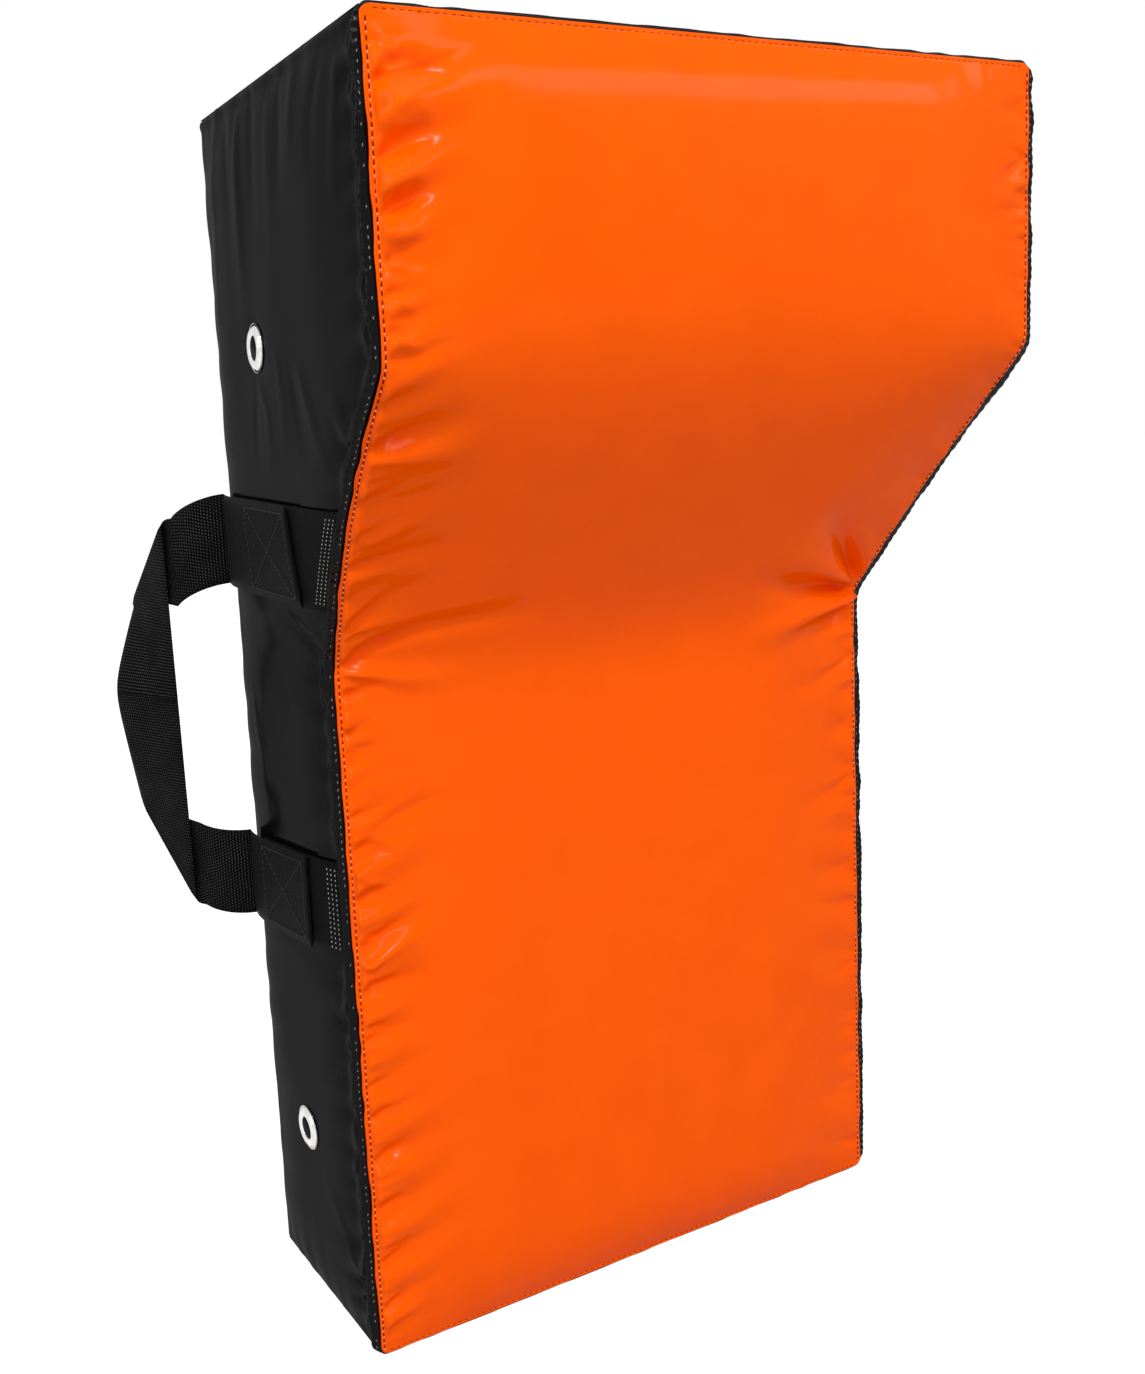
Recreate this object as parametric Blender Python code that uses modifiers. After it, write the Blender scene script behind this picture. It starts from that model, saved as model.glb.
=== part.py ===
"""Tackle shield: a training pad of two foam blocks in a sewn PVC cover, with a webbing handle on each side.

Metres, +Z up. The shield stands on the end of its thin lower slab, and its striking face looks along -Y.
The thick upper block hangs over the front. The origin is the middle of the face that it stands on.
Every cover panel is crowned: flat in the middle and rolled down to its seams by the foam behind it.
"""

import math

import bmesh
import bpy
from mathutils import Matrix, Vector

# Cover, measured between its seams
COVER_HEIGHT = 0.650
COVER_WIDTH = 0.350
BLOCK_DEPTH = 0.244
SLAB_DEPTH = 0.124
SLAB_FRONT_WIDTH = 0.326
COVER_WALL = 0.001

# Heights as shares of the cover's height
WAIST_SHARE = 0.573
FOLD_SHARE = 0.790
UPPER_STRAP_SHARE = 0.6554
LOWER_STRAP_SHARE = 0.3577
UPPER_EYELET_SHARE = 0.8115
LOWER_EYELET_SHARE = 0.1538

# How far each panel stands out of its seams, and how far in from a seam it rolls down
FRONT_CROWN = 0.012
FRONT_ROLL = 0.055
SIDE_CROWN = 0.0045
SIDE_ROLL_SHARE = 0.4
REAR_CROWN = 0.005
REAR_ROLL = 0.050
TOP_CROWN = 0.006
TOP_ROLL = 0.050
BASE_CROWN = 0.0025
BASE_CHAMFER = 0.008

# Bends of the front between its three faces: tight along the side seams, soft in the middle
SEAM_BEND = 0.006
WAIST_BEND = 0.020
FOLD_BEND = 0.018
BEND_REACH = 0.020
SLOPE_SAG = 0.005

# Seam round the front: the panel's lip is sewn over a welt that shows beyond its edge
LIP_WIDTH = 0.004
WELT_THICKNESS = 0.0012
SIDE_WELT_REACH = 0.0042
END_WELT_REACH = 0.0015

# Foam
FOAM_GAP = 0.0009
LEDGE_RISE = 0.002

# Webbing: each strap's climb from the rear edge to the front, and the length of its sewn end
WEB_WIDTH = 0.050
WEB_THICKNESS = 0.0018
UPPER_STRAP_CLIMB = 0.0015
UPPER_TAB_LENGTH = 0.122
LOWER_STRAP_CLIMB = 0.0145
LOWER_TAB_LENGTH = 0.090
ANCHOR_SETBACK = 0.025

# Handle loop: a bend out of the rear edge, a diagonal fold, and a grip that twists to its middle.
# Headings are turned from straight out of the side towards the rear.
HANDLE_BEND_RADIUS = 0.031
HANDLE_START_HEADING = math.radians(10)
UPPER_FOLD_HEADING = math.radians(78)
UPPER_FOLD_DROP = 0.0135
LOWER_FOLD_HEADING = math.radians(70)
LOWER_FOLD_DROP = 0.003
DROP_POWER = 1.7
FOLD_RADIUS = 0.002
GRIP_HEADING = math.radians(57)
GRIP_MIDDLE_LIFT = 0.006
TWIST_START = 0.060
PIVOT_CLEARANCE = 0.0003

# Eyelets: nickel rings that let the foam breathe
EYELET_RADIUS = 0.012
EYELET_DOME = 0.002
EYELET_BORE_RADIUS = 0.006
EYELET_BARREL_RADIUS = 0.007
EYELET_EDGE = 0.0005
EYELET_ROLL = 0.0012
WASHER_RADIUS = 0.011
WASHER_THICKNESS = 0.0008
UPPER_EYELET_SETBACK = 0.088
LOWER_EYELET_SETBACK = 0.057

# Clearances: between pieces that touch, under webbing on a curved panel, and what a cut runs past
SEAT_GAP = 0.0003
WEB_GAP = 0.0004
CUT_OVERRUN = 0.008

# Facets
FRONT_COLUMNS = 16
FOAM_COLUMNS = (0, 1, 2, 4, 6, 8, 10, 12, 14, 15, 16)
LOWER_ROW_COUNT = 3
SLAB_ROW_COUNT = 6
BEND_ROW_COUNT = 4
SLOPE_ROW_COUNT = 5
BLOCK_ROW_COUNT = 2
UPPER_ROW_COUNT = 4
SHORT_SPAN_CELL_COUNT = 2
LONG_SPAN_CELL_COUNT = 4
ANCHOR_CELL_COUNT = 14
TAB_CELL_COUNT = 10
WEBBING_CELL_COUNT = 2
ARC_ROW_COUNT = 8
CREASE_ROW_COUNT = 5
GRIP_ROW_COUNT = 6
ROLL_SHARES = (0.0, 0.24, 0.6, 1.0)
CHAMFER_SHARES = (0.0, 1.0)
SLAB_DEPTH_SHARES = (0.0, 0.1, 0.37, 0.63, 0.9, 1.0)
WEDGE_DEPTH_SHARES = (0.0, 0.3, 0.6, 0.85, 1.0)
ROUND_STEPS = 18
MERGE_DISTANCE = 0.00001

# Ratio past which a soft corner is as good as straight
STRAIGHT_RATIO = 30

# Heights and planes that follow
BOTTOM_SEAM = BASE_CROWN
TOP_SEAM = BOTTOM_SEAM + COVER_HEIGHT
WAIST = BOTTOM_SEAM + WAIST_SHARE * COVER_HEIGHT
FOLD = BOTTOM_SEAM + FOLD_SHARE * COVER_HEIGHT
UPPER_STRAP = BOTTOM_SEAM + UPPER_STRAP_SHARE * COVER_HEIGHT
LOWER_STRAP = BOTTOM_SEAM + LOWER_STRAP_SHARE * COVER_HEIGHT
UPPER_EYELET = BOTTOM_SEAM + UPPER_EYELET_SHARE * COVER_HEIGHT
LOWER_EYELET = BOTTOM_SEAM + LOWER_EYELET_SHARE * COVER_HEIGHT
REAR_PLANE = SLAB_DEPTH / 2
SIDE_ROLL = SIDE_ROLL_SHARE * SLAB_DEPTH
HALF_WIDTH = COVER_WIDTH / 2
SLAB_HALF_WIDTH = SLAB_FRONT_WIDTH / 2
OVERHANG_SLOPE = (BLOCK_DEPTH - SLAB_DEPTH) / (FOLD - WAIST)
WELT_FACE = COVER_WALL + SEAT_GAP
WELT_BACK = WELT_FACE + WELT_THICKNESS
SEAM_STACK = WELT_BACK + SEAT_GAP
FOAM_STACK = WELT_BACK + FOAM_GAP
FOAM_INSET = COVER_WALL + FOAM_GAP
FOAM_JOINT = REAR_PLANE - SLAB_DEPTH + FOAM_STACK
FOLD_TURN = math.pi * FOLD_RADIUS
ANCHOR_LIFT = WEB_GAP
TAB_LIFT = ANCHOR_LIFT + WEB_THICKNESS + WEB_GAP
PIVOT_OUT = HALF_WIDTH + TAB_LIFT + WEB_THICKNESS / 2
TAB_SETBACK = WEB_THICKNESS / 2 + PIVOT_CLEARANCE
STRAPS = (
    ("upper", UPPER_STRAP, UPPER_STRAP_CLIMB, UPPER_TAB_LENGTH),
    ("lower", LOWER_STRAP, LOWER_STRAP_CLIMB, LOWER_TAB_LENGTH),
)
HANDLE_HALVES = (
    (1, UPPER_FOLD_HEADING, UPPER_FOLD_DROP),
    (-1, LOWER_FOLD_HEADING, LOWER_FOLD_DROP),
)
EYELETS = (
    ("upper", UPPER_EYELET, UPPER_EYELET_SETBACK),
    ("lower", LOWER_EYELET, LOWER_EYELET_SETBACK),
)
SIDES = (("left", -1), ("right", 1))


def mix(start, end, share):
    return start + (end - start) * share


def roll(distance, reach):
    """0 on the seam and 1 from the reach inwards, steepest at the seam."""
    share = min(max(distance / reach, 0), 1)
    return 1 - (1 - share) ** 3


def chamfer(distance, reach):
    """0 on the seam and 1 from the reach inwards, on a straight slope."""
    return min(max(distance / reach, 0), 1)


def soft_ramp(height, bend):
    """0 below the corner and the height above it, with a bend between."""
    ratio = height / bend
    return height if ratio > STRAIGHT_RATIO else bend * math.log1p(math.exp(ratio))


def spread(start, end, count):
    """Places from start on, without the end."""
    return [mix(start, end, step / count) for step in range(count)]


def graded(start, end, reach, cells, shares=ROLL_SHARES):
    """Places from start to end, close together where a panel rolls down to its seams."""
    near = [start + share * reach for share in shares]
    far = [end - share * reach for share in reversed(shares)]
    return near[:-1] + spread(near[-1], far[0], cells) + far


# The cover's surfaces


def front_depth(height, inside):
    """Depth of the striking face from the rear plane. Inside is 0 on the side seams and 1 in the middle."""
    waist_bend = mix(SEAM_BEND, WAIST_BEND, inside)
    fold_bend = mix(SEAM_BEND, FOLD_BEND, inside)
    ramp = soft_ramp(height - WAIST, waist_bend) - soft_ramp(height - FOLD, fold_bend)
    along = min(max((height - WAIST) / (FOLD - WAIST), 0), 1)
    sag = SLOPE_SAG * math.sin(math.pi * along) * (1 - inside)
    return SLAB_DEPTH + OVERHANG_SLOPE * ramp - sag


def stretch(height):
    """How much longer a wall is along Y than across, where the face slopes."""
    rise = front_depth(height + COVER_WALL, 0) - front_depth(height - COVER_WALL, 0)
    return math.hypot(1, rise / (2 * COVER_WALL))


def seam_y(height):
    return REAR_PLANE - front_depth(height, 0)


def seam_half_width(height):
    along = min(max((height - WAIST) / (FOLD - WAIST), 0), 1)
    return mix(SLAB_HALF_WIDTH, HALF_WIDTH, math.sin(along * math.pi / 2))


def column_x(column, half_width):
    """Place across the front: the outer columns are the lips, and the rest close up towards them."""
    half_count = FRONT_COLUMNS // 2
    step = column - half_count
    if abs(step) == half_count:
        return math.copysign(half_width, step)
    share = step / (half_count - 1)
    return (half_width - LIP_WIDTH) * (share + math.sin(share * math.pi / 2)) / 2


def front_y(x, height):
    """The striking face at x and height: flat on the lips, crowned inside them."""
    inside = roll(seam_half_width(height) - LIP_WIDTH - abs(x), FRONT_ROLL)
    crown = FRONT_CROWN * inside
    crown *= roll(TOP_SEAM - LIP_WIDTH - height, FRONT_ROLL)
    crown *= roll(height - BOTTOM_SEAM - LIP_WIDTH, FRONT_ROLL)
    return REAR_PLANE - front_depth(height, inside) - crown


def side_reach(y, height):
    """Half width of the cover at a depth and height, with the side panel's crown."""
    front = seam_y(height)
    base = mix(HALF_WIDTH, seam_half_width(height), (REAR_PLANE - y) / (REAR_PLANE - front))
    crown = SIDE_CROWN * roll(REAR_PLANE - y, SIDE_ROLL) * roll(y - front, SIDE_ROLL)
    crown *= roll(TOP_SEAM - height, SIDE_ROLL) * roll(height - BOTTOM_SEAM, SIDE_ROLL)
    return base + crown


def rear_crown(x, height):
    crown = REAR_CROWN * roll(HALF_WIDTH - abs(x), REAR_ROLL)
    return crown * roll(TOP_SEAM - height, REAR_ROLL) * roll(height - BOTTOM_SEAM, REAR_ROLL)


def end_crown(x, y, seam, crown, reach, profile):
    """Crown of the top or bottom panel, whose front edge is at the striking face's seam."""
    half_width = mix(HALF_WIDTH, seam_half_width(seam), (REAR_PLANE - y) / (REAR_PLANE - seam_y(seam)))
    crown = crown * profile(half_width - abs(x), reach) * profile(REAR_PLANE - y, reach)
    return crown * profile(y - seam_y(seam), reach)


def top_height(x, y):
    return TOP_SEAM + end_crown(x, y, TOP_SEAM, TOP_CROWN, TOP_ROLL, roll)


def bottom_height(x, y):
    """The bottom is flat, with a chamfer round it, so that the shield stands steadily."""
    return BOTTOM_SEAM - end_crown(x, y, BOTTOM_SEAM, BASE_CROWN, BASE_CHAMFER, chamfer)


def cover_rows():
    """Heights of the rows of facets that the front, the sides and the foam share."""
    lip_top = BOTTOM_SEAM + LIP_WIDTH
    lip_bottom = TOP_SEAM - LIP_WIDTH
    rows = [BOTTOM_SEAM]
    rows += spread(lip_top, lip_top + FRONT_ROLL, LOWER_ROW_COUNT)
    rows += spread(lip_top + FRONT_ROLL, WAIST - BEND_REACH, SLAB_ROW_COUNT)
    rows += spread(WAIST - BEND_REACH, WAIST + BEND_REACH, BEND_ROW_COUNT)
    rows += spread(WAIST + BEND_REACH, FOLD - BEND_REACH, SLOPE_ROW_COUNT)
    rows += spread(FOLD - BEND_REACH, FOLD + BEND_REACH, BEND_ROW_COUNT)
    rows += spread(FOLD + BEND_REACH, lip_bottom - FRONT_ROLL, BLOCK_ROW_COUNT)
    rows += spread(lip_bottom - FRONT_ROLL, lip_bottom, UPPER_ROW_COUNT)
    return rows + [lip_bottom, TOP_SEAM]


# Scene and modelling helpers


def clear_scene():
    for obj in list(bpy.data.objects):
        bpy.data.objects.remove(obj)


def new_collection(name):
    collection = bpy.data.collections.new(name)
    bpy.context.scene.collection.children.link(collection)
    return collection


def new_material(name, colour, roughness, metallic=0.0):
    material = bpy.data.materials.new(name)
    material.use_nodes = True
    shader = material.node_tree.nodes["Principled BSDF"]
    shader.inputs["Base Color"].default_value = (*colour, 1)
    shader.inputs["Roughness"].default_value = roughness
    shader.inputs["Metallic"].default_value = metallic
    return material


def add_object(name, mesh, collection, material, smooth_faces=True):
    data = bpy.data.meshes.new(name)
    mesh.to_mesh(data)
    mesh.free()
    if smooth_faces:
        data.shade_smooth()
    obj = bpy.data.objects.new(name, data)
    collection.objects.link(obj)
    if material:
        data.materials.append(material)
    return obj


def add_sheet(name, columns, rows, place, thickness, collection, material, flip=False, offset=-1):
    """A grid of facets whose points place(column, row) sets, thickened into a sheet."""
    mesh = bmesh.new()
    bmesh.ops.create_grid(mesh, x_segments=columns, y_segments=rows, size=1)
    for vertex in mesh.verts:
        column, row = (vertex.co.x + 1) / 2 * columns, (vertex.co.y + 1) / 2 * rows
        vertex.co = place(round(column), round(row))
    if flip:
        bmesh.ops.reverse_faces(mesh, faces=mesh.faces)
    sheet = add_object(name, mesh, collection, material)
    wall = sheet.modifiers.new("wall", "SOLIDIFY")
    wall.thickness = thickness
    wall.offset = offset
    wall.use_even_offset = True
    return sheet


def add_block(name, cells, place, collection, material):
    """A closed block cut into a lattice of cells, whose points place(column, layer, row) sets."""
    mesh = bmesh.new()
    bmesh.ops.create_cube(mesh, size=1, matrix=Matrix.Translation(Vector((1, 1, 1)) / 2))
    for axis, count in enumerate(cells):
        normal = Vector((0, 0, 0))
        normal[axis] = 1
        for step in range(1, count):
            geometry = mesh.verts[:] + mesh.edges[:] + mesh.faces[:]
            bmesh.ops.bisect_plane(mesh, geom=geometry, plane_co=normal * step / count, plane_no=normal)
    for vertex in mesh.verts:
        vertex.co = place(*(round(share * count) for share, count in zip(vertex.co, cells)))
    mesh.normal_update()
    bmesh.ops.recalc_face_normals(mesh, faces=mesh.faces)
    return add_object(name, mesh, collection, material)


def add_turned(name, profile, matrix, collection, material):
    """A closed profile of (radius, height) points turned round the matrix's Z axis."""
    mesh = bmesh.new()
    points = [mesh.verts.new((radius, 0, height)) for radius, height in profile]
    for start, end in zip(points, points[1:] + points[:1]):
        mesh.edges.new((start, end))
    turned = add_object(name, mesh, collection, material, smooth_faces=False)
    screw = turned.modifiers.new("turn", "SCREW")
    screw.steps = ROUND_STEPS
    screw.render_steps = ROUND_STEPS
    screw.use_merge_vertices = True
    screw.merge_threshold = MERGE_DISTANCE
    turned.matrix_world = matrix
    return turned


def cut_cylinder(target, name, radius, start, end, matrix, collection):
    """Cuts a round hole from start to end along the matrix's Z axis."""
    mesh = bmesh.new()
    bmesh.ops.create_cone(
        mesh,
        cap_ends=True,
        segments=ROUND_STEPS,
        radius1=radius,
        radius2=radius,
        depth=end - start,
        matrix=matrix @ Matrix.Translation((0, 0, (start + end) / 2)),
    )
    cutter = add_object(name, mesh, collection, None, smooth_faces=False)
    cutter.hide_render = True
    cutter.display_type = "WIRE"
    cut = target.modifiers.new(name, "BOOLEAN")
    cut.operation = "DIFFERENCE"
    cut.solver = "EXACT"
    cut.object = cutter


# Cover panels


def make_front_panel(collection, material):
    rows = cover_rows()

    def place(column, row):
        height = rows[row]
        x = column_x(column, seam_half_width(height))
        return Vector((x, front_y(x, height), height))

    return add_sheet(
        "front_panel", FRONT_COLUMNS, len(rows) - 1, place, COVER_WALL, collection, material
    )


def make_side_panel(name, side, collection, material):
    inner_bottom = BOTTOM_SEAM + COVER_WALL + SEAT_GAP
    inner_top = TOP_SEAM - COVER_WALL - SEAT_GAP
    rows = [min(max(row, inner_bottom), inner_top) for row in cover_rows()]

    def columns_at(height):
        rear = REAR_PLANE - COVER_WALL - SEAT_GAP
        front = seam_y(height) + SEAM_STACK * stretch(height)
        return graded(rear, front, -SIDE_ROLL, SHORT_SPAN_CELL_COUNT)

    def place(column, row):
        y = columns_at(rows[row])[column]
        return Vector((side * side_reach(y, rows[row]), y, rows[row]))

    columns = len(columns_at(WAIST)) - 1
    return add_sheet(
        name, columns, len(rows) - 1, place, COVER_WALL, collection, material, flip=side > 0
    )


def make_rear_panel(collection, material):
    columns = graded(-HALF_WIDTH, HALF_WIDTH, REAR_ROLL, SHORT_SPAN_CELL_COUNT)
    bottom = BOTTOM_SEAM + COVER_WALL + SEAT_GAP
    rows = graded(bottom, TOP_SEAM - COVER_WALL - SEAT_GAP, REAR_ROLL, LONG_SPAN_CELL_COUNT)

    def place(column, row):
        x, height = columns[column], rows[row]
        return Vector((x, REAR_PLANE + rear_crown(x, height), height))

    return add_sheet(
        "rear_panel", len(columns) - 1, len(rows) - 1, place, COVER_WALL, collection, material, flip=True
    )


def make_end_panel(name, seam, height_at, reach, shares, collection, material):
    """The top or the bottom panel."""
    rows = graded(seam_y(seam) + SEAM_STACK, REAR_PLANE, reach, SHORT_SPAN_CELL_COUNT, shares)
    columns = len(graded(-HALF_WIDTH, HALF_WIDTH, reach, LONG_SPAN_CELL_COUNT, shares)) - 1

    def place(column, row):
        y = rows[row]
        share = (REAR_PLANE - y) / (REAR_PLANE - seam_y(seam))
        half_width = mix(HALF_WIDTH, seam_half_width(seam), share)
        x = graded(-half_width, half_width, reach, LONG_SPAN_CELL_COUNT, shares)[column]
        return Vector((x, y, height_at(x, y)))

    flip = height_at is bottom_height
    return add_sheet(
        name, columns, len(rows) - 1, place, COVER_WALL, collection, material, flip=flip
    )


# Welts of the front seam


def make_side_welt(name, side, collection, material):
    rows = cover_rows()

    def place(column, layer, row):
        height = rows[row]
        edge = seam_half_width(height)
        x = edge - LIP_WIDTH if column == 0 else edge + SIDE_WELT_REACH
        depth = WELT_FACE if layer == 0 else WELT_BACK
        return Vector((side * x, seam_y(height) + depth * stretch(height), height))

    return add_block(name, (1, 1, len(rows) - 1), place, collection, material)


def make_end_welt(name, seam, side, collection, material):
    """The top or the bottom welt, between the side welts."""
    half_width = seam_half_width(seam) - LIP_WIDTH - SEAT_GAP

    def place(column, layer, row):
        x = half_width * (1 if column else -1)
        depth = WELT_BACK if layer else WELT_FACE
        height = seam + side * (END_WELT_REACH if row else -LIP_WIDTH)
        return Vector((x, seam_y(seam) + depth, height))

    return add_block(name, (1, 1, 1), place, collection, material)


# Foam


def foam_x(column, y, height):
    """Place across the foam, whose outer columns lie behind the side panels."""
    step = FOAM_COLUMNS[column] - FRONT_COLUMNS // 2
    if abs(step) == FRONT_COLUMNS // 2:
        return math.copysign(side_reach(y, height) - FOAM_INSET, step)
    share = (REAR_PLANE - y) / (REAR_PLANE - seam_y(height))
    return column_x(FOAM_COLUMNS[column], mix(HALF_WIDTH, seam_half_width(height), share) - FOAM_GAP)


def foam_front(column, height):
    """The foam's face behind the striking face, set back behind the welts along the seams."""
    under_lip = min(column, len(FOAM_COLUMNS) - 1 - column) < 2
    if under_lip or not BOTTOM_SEAM + LIP_WIDTH < height < TOP_SEAM - LIP_WIDTH:
        return seam_y(height) + FOAM_STACK * stretch(height)
    x = foam_x(column, seam_y(height), height)
    return front_y(x, height) + FOAM_INSET * stretch(height)


def foam_end(x, y, height, row, last_row):
    """Height of the foam's point, with the top and bottom rows moved under the end panels."""
    if row == 0:
        return bottom_height(x, y) + FOAM_INSET
    if row == last_row:
        return top_height(x, y) - FOAM_INSET
    return height


def make_foam_slab(collection, material):
    """The full height back slab, with a ledge at the waist that the wedge stands on."""
    below = [row for row in cover_rows() if row < WAIST - SEAT_GAP]
    above = [row for row in cover_rows() if row > WAIST + LEDGE_RISE]
    rows = below + [WAIST, WAIST + LEDGE_RISE] + above
    last_row = len(rows) - 1
    rear = REAR_PLANE - FOAM_INSET

    def place(column, layer, row):
        height = min(max(rows[row], BOTTOM_SEAM + FOAM_INSET), TOP_SEAM - FOAM_INSET)
        share = SLAB_DEPTH_SHARES[layer]
        front = FOAM_JOINT + FOAM_GAP if row > len(below) else foam_front(column, height)
        edge = max(front, seam_y(height) + FOAM_STACK)
        x = foam_x(column, mix(rear, edge, share), height)
        y = mix(rear + rear_crown(x, height), front, share)
        return Vector((x, y, foam_end(x, y, height, row, last_row)))

    cells = (len(FOAM_COLUMNS) - 1, len(SLAB_DEPTH_SHARES) - 1, last_row)
    return add_block("foam_slab", cells, place, collection, material)


def make_foam_wedge(collection, material):
    """The block glued to the slab's front, from the waist's ledge to the top."""
    rows = [WAIST + FOAM_GAP] + [row for row in cover_rows() if row > WAIST + LEDGE_RISE]
    last_row = len(rows) - 1

    def place(column, layer, row):
        height = min(rows[row], TOP_SEAM - FOAM_INSET)
        share = WEDGE_DEPTH_SHARES[layer]
        edge = seam_y(height) + FOAM_STACK * stretch(height)
        x = foam_x(column, mix(FOAM_JOINT, edge, share), height)
        y = mix(FOAM_JOINT, foam_front(column, height), share)
        if row == 0:
            height += LEDGE_RISE * (1 - share)
        return Vector((x, y, foam_end(x, y, height, max(row, 1), last_row)))

    cells = (len(FOAM_COLUMNS) - 1, len(WEDGE_DEPTH_SHARES) - 1, last_row)
    return add_block("foam_wedge", cells, place, collection, material)


# Webbing on the side panels


def add_strap(name, side, middle, climb, ends, cells, lift, collection, material):
    """A flat strap on a side panel, between the two depths that ends(height) gives."""

    def place(along, layer, across):
        offset = WEB_WIDTH * (across / WEBBING_CELL_COUNT - 1 / 2)
        front, rear = ends(middle + offset)
        y = mix(front, rear, along / cells)
        height = middle + offset + climb * (REAR_PLANE - y) / SLAB_DEPTH
        reach = side_reach(y, height) + lift + WEB_THICKNESS * layer
        return Vector((side * reach, y, height))

    return add_block(name, (cells, 1, WEBBING_CELL_COUNT), place, collection, material)


def make_side_webbing(side_name, side, collection, material):
    for level, middle, climb, tab_length in STRAPS:

        def anchor_ends(height):
            seam = height + climb
            return seam_y(seam) + SEAM_STACK * stretch(seam), REAR_PLANE - ANCHOR_SETBACK

        def tab_ends(height):
            return REAR_PLANE - tab_length, REAR_PLANE - TAB_SETBACK

        add_strap(
            f"{side_name}_{level}_anchor_strap",
            side,
            middle,
            climb,
            anchor_ends,
            ANCHOR_CELL_COUNT,
            ANCHOR_LIFT,
            collection,
            material,
        )
        add_strap(
            f"{side_name}_{level}_handle_tab",
            side,
            middle,
            climb,
            tab_ends,
            TAB_CELL_COUNT,
            TAB_LIFT,
            collection,
            material,
        )


# Handle loops: worked out in the handle's frame, with X out of the side panel and Y to the rear


def level(heading):
    return Vector((math.cos(heading), math.sin(heading), 0))


def bend_length(fold_heading):
    return HANDLE_BEND_RADIUS * (fold_heading - HANDLE_START_HEADING)


def bend_point(length):
    """Place along the arc by which the webbing leaves the rear edge."""
    start = HANDLE_START_HEADING
    end = start + length / HANDLE_BEND_RADIUS
    out = math.sin(end) - math.sin(start)
    back = math.cos(start) - math.cos(end)
    return Vector((out, back, 0)) * HANDLE_BEND_RADIUS


def grip_corner(fold_heading):
    """Where the grip's inner edge comes out of the diagonal fold, which turns it to the outside."""
    corner = bend_point(bend_length(fold_heading))
    corner += level(fold_heading) * FOLD_TURN / math.sqrt(2)
    return corner + level(fold_heading - math.pi / 2) * 2 * FOLD_RADIUS


def ribbon_point(length, across, fold_heading, drop, grip_length):
    """A point of half of the unrolled webbing, put where the bend, the fold and the twist take it.

    Length runs along the webbing from the pivot. Across is 0 on the edge that is the strap's outer
    edge and the grip's inner one. Heights are down from that edge at the pivot.
    """
    bend = bend_length(fold_heading)
    down = Vector((0, 0, -1))
    if length < bend:
        return bend_point(length) + down * (across + drop * (length / bend) ** DROP_POWER)
    past = (length - bend - across) / math.sqrt(2)
    along = (length - bend + across) / math.sqrt(2)
    turn = min(max(past / FOLD_RADIUS, 0), math.pi)
    grip_down = length - bend
    if turn == math.pi:
        middle = sum((grip_corner(half[1]) for half in HANDLE_HALVES), Vector()) / len(HANDLE_HALVES)
        inner = grip_corner(fold_heading).lerp(middle, grip_down / grip_length)
        twist = min(max((grip_down - TWIST_START) / (grip_length - TWIST_START), 0), 1)
        outer = level(mix(fold_heading, GRIP_HEADING, twist))
        return inner + outer * across + down * (drop + grip_down - FOLD_TURN / math.sqrt(2))
    crease = (level(fold_heading) + down) / math.sqrt(2)
    beyond = (level(fold_heading) - down) / math.sqrt(2)
    point = bend_point(bend) + down * drop + crease * along
    if turn == 0:
        return point + beyond * past
    outward = level(fold_heading - math.pi / 2)
    return point + (beyond * math.sin(turn) + outward * (1 - math.cos(turn))) * FOLD_RADIUS


def ribbon_lines(fold_heading, grip_length):
    """Lines across half of the webbing, as (length on the outer edge, length on the other edge)."""
    bend = bend_length(fold_heading)
    fold_end = bend + FOLD_TURN * math.sqrt(2)
    middle = bend + grip_length
    lines = [(bend * share, (bend + WEB_WIDTH) * share) for share in spread(0, 1, ARC_ROW_COUNT)]
    lines += [(start, start + WEB_WIDTH) for start in spread(bend, fold_end, CREASE_ROW_COUNT)]
    for share in spread(0, 1, GRIP_ROW_COUNT):
        lines.append((mix(fold_end, middle, share), mix(fold_end + WEB_WIDTH, middle, share)))
    return lines + [(middle, middle)]


def make_handle_loop(side_name, side, collection, material):
    """The free webbing between the two tabs, round which the hand closes."""
    top_edge = (UPPER_STRAP - LOWER_STRAP + WEB_WIDTH) / 2
    rows = []
    for half, fold_heading, drop in HANDLE_HALVES:
        grip_length = top_edge - drop + FOLD_TURN / math.sqrt(2) - half * GRIP_MIDDLE_LIFT
        points = []
        for line in ribbon_lines(fold_heading, grip_length):
            points.append([])
            for across in spread(0, 1, WEBBING_CELL_COUNT) + [1]:
                length = mix(*line, across)
                point = ribbon_point(length, across * WEB_WIDTH, fold_heading, drop, grip_length)
                points[-1].append(Vector((side * point.x, point.y, half * (top_edge + point.z))))
        rows = points + rows[-2::-1]

    def place(column, row):
        return rows[row][column]

    loop = add_sheet(
        f"{side_name}_handle_loop",
        WEBBING_CELL_COUNT,
        len(rows) - 1,
        place,
        WEB_THICKNESS,
        collection,
        material,
        offset=0,
    )
    pivot = bpy.data.objects.new(f"{side_name}_handle_pivot", None)
    pivot.location = (side * PIVOT_OUT, REAR_PLANE, (UPPER_STRAP + LOWER_STRAP) / 2)
    collection.objects.link(pivot)
    loop.parent = pivot
    return loop


# Eyelets


def eyelet_frame(side, setback, height):
    """Frame on a side panel's outer face, with Z pointing straight out of it."""
    y = REAR_PLANE - setback

    def surface(y, height):
        return Vector((side * side_reach(y, height), y, height))

    along = surface(y + EYELET_RADIUS, height) - surface(y - EYELET_RADIUS, height)
    up = surface(y, height + EYELET_RADIUS) - surface(y, height - EYELET_RADIUS)
    normal = side * along.cross(up).normalized()
    forward = up.cross(normal).normalized()
    turn = Matrix((forward, normal.cross(forward), normal)).transposed().to_4x4()
    return Matrix.Translation(surface(y, height)) @ turn


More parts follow.
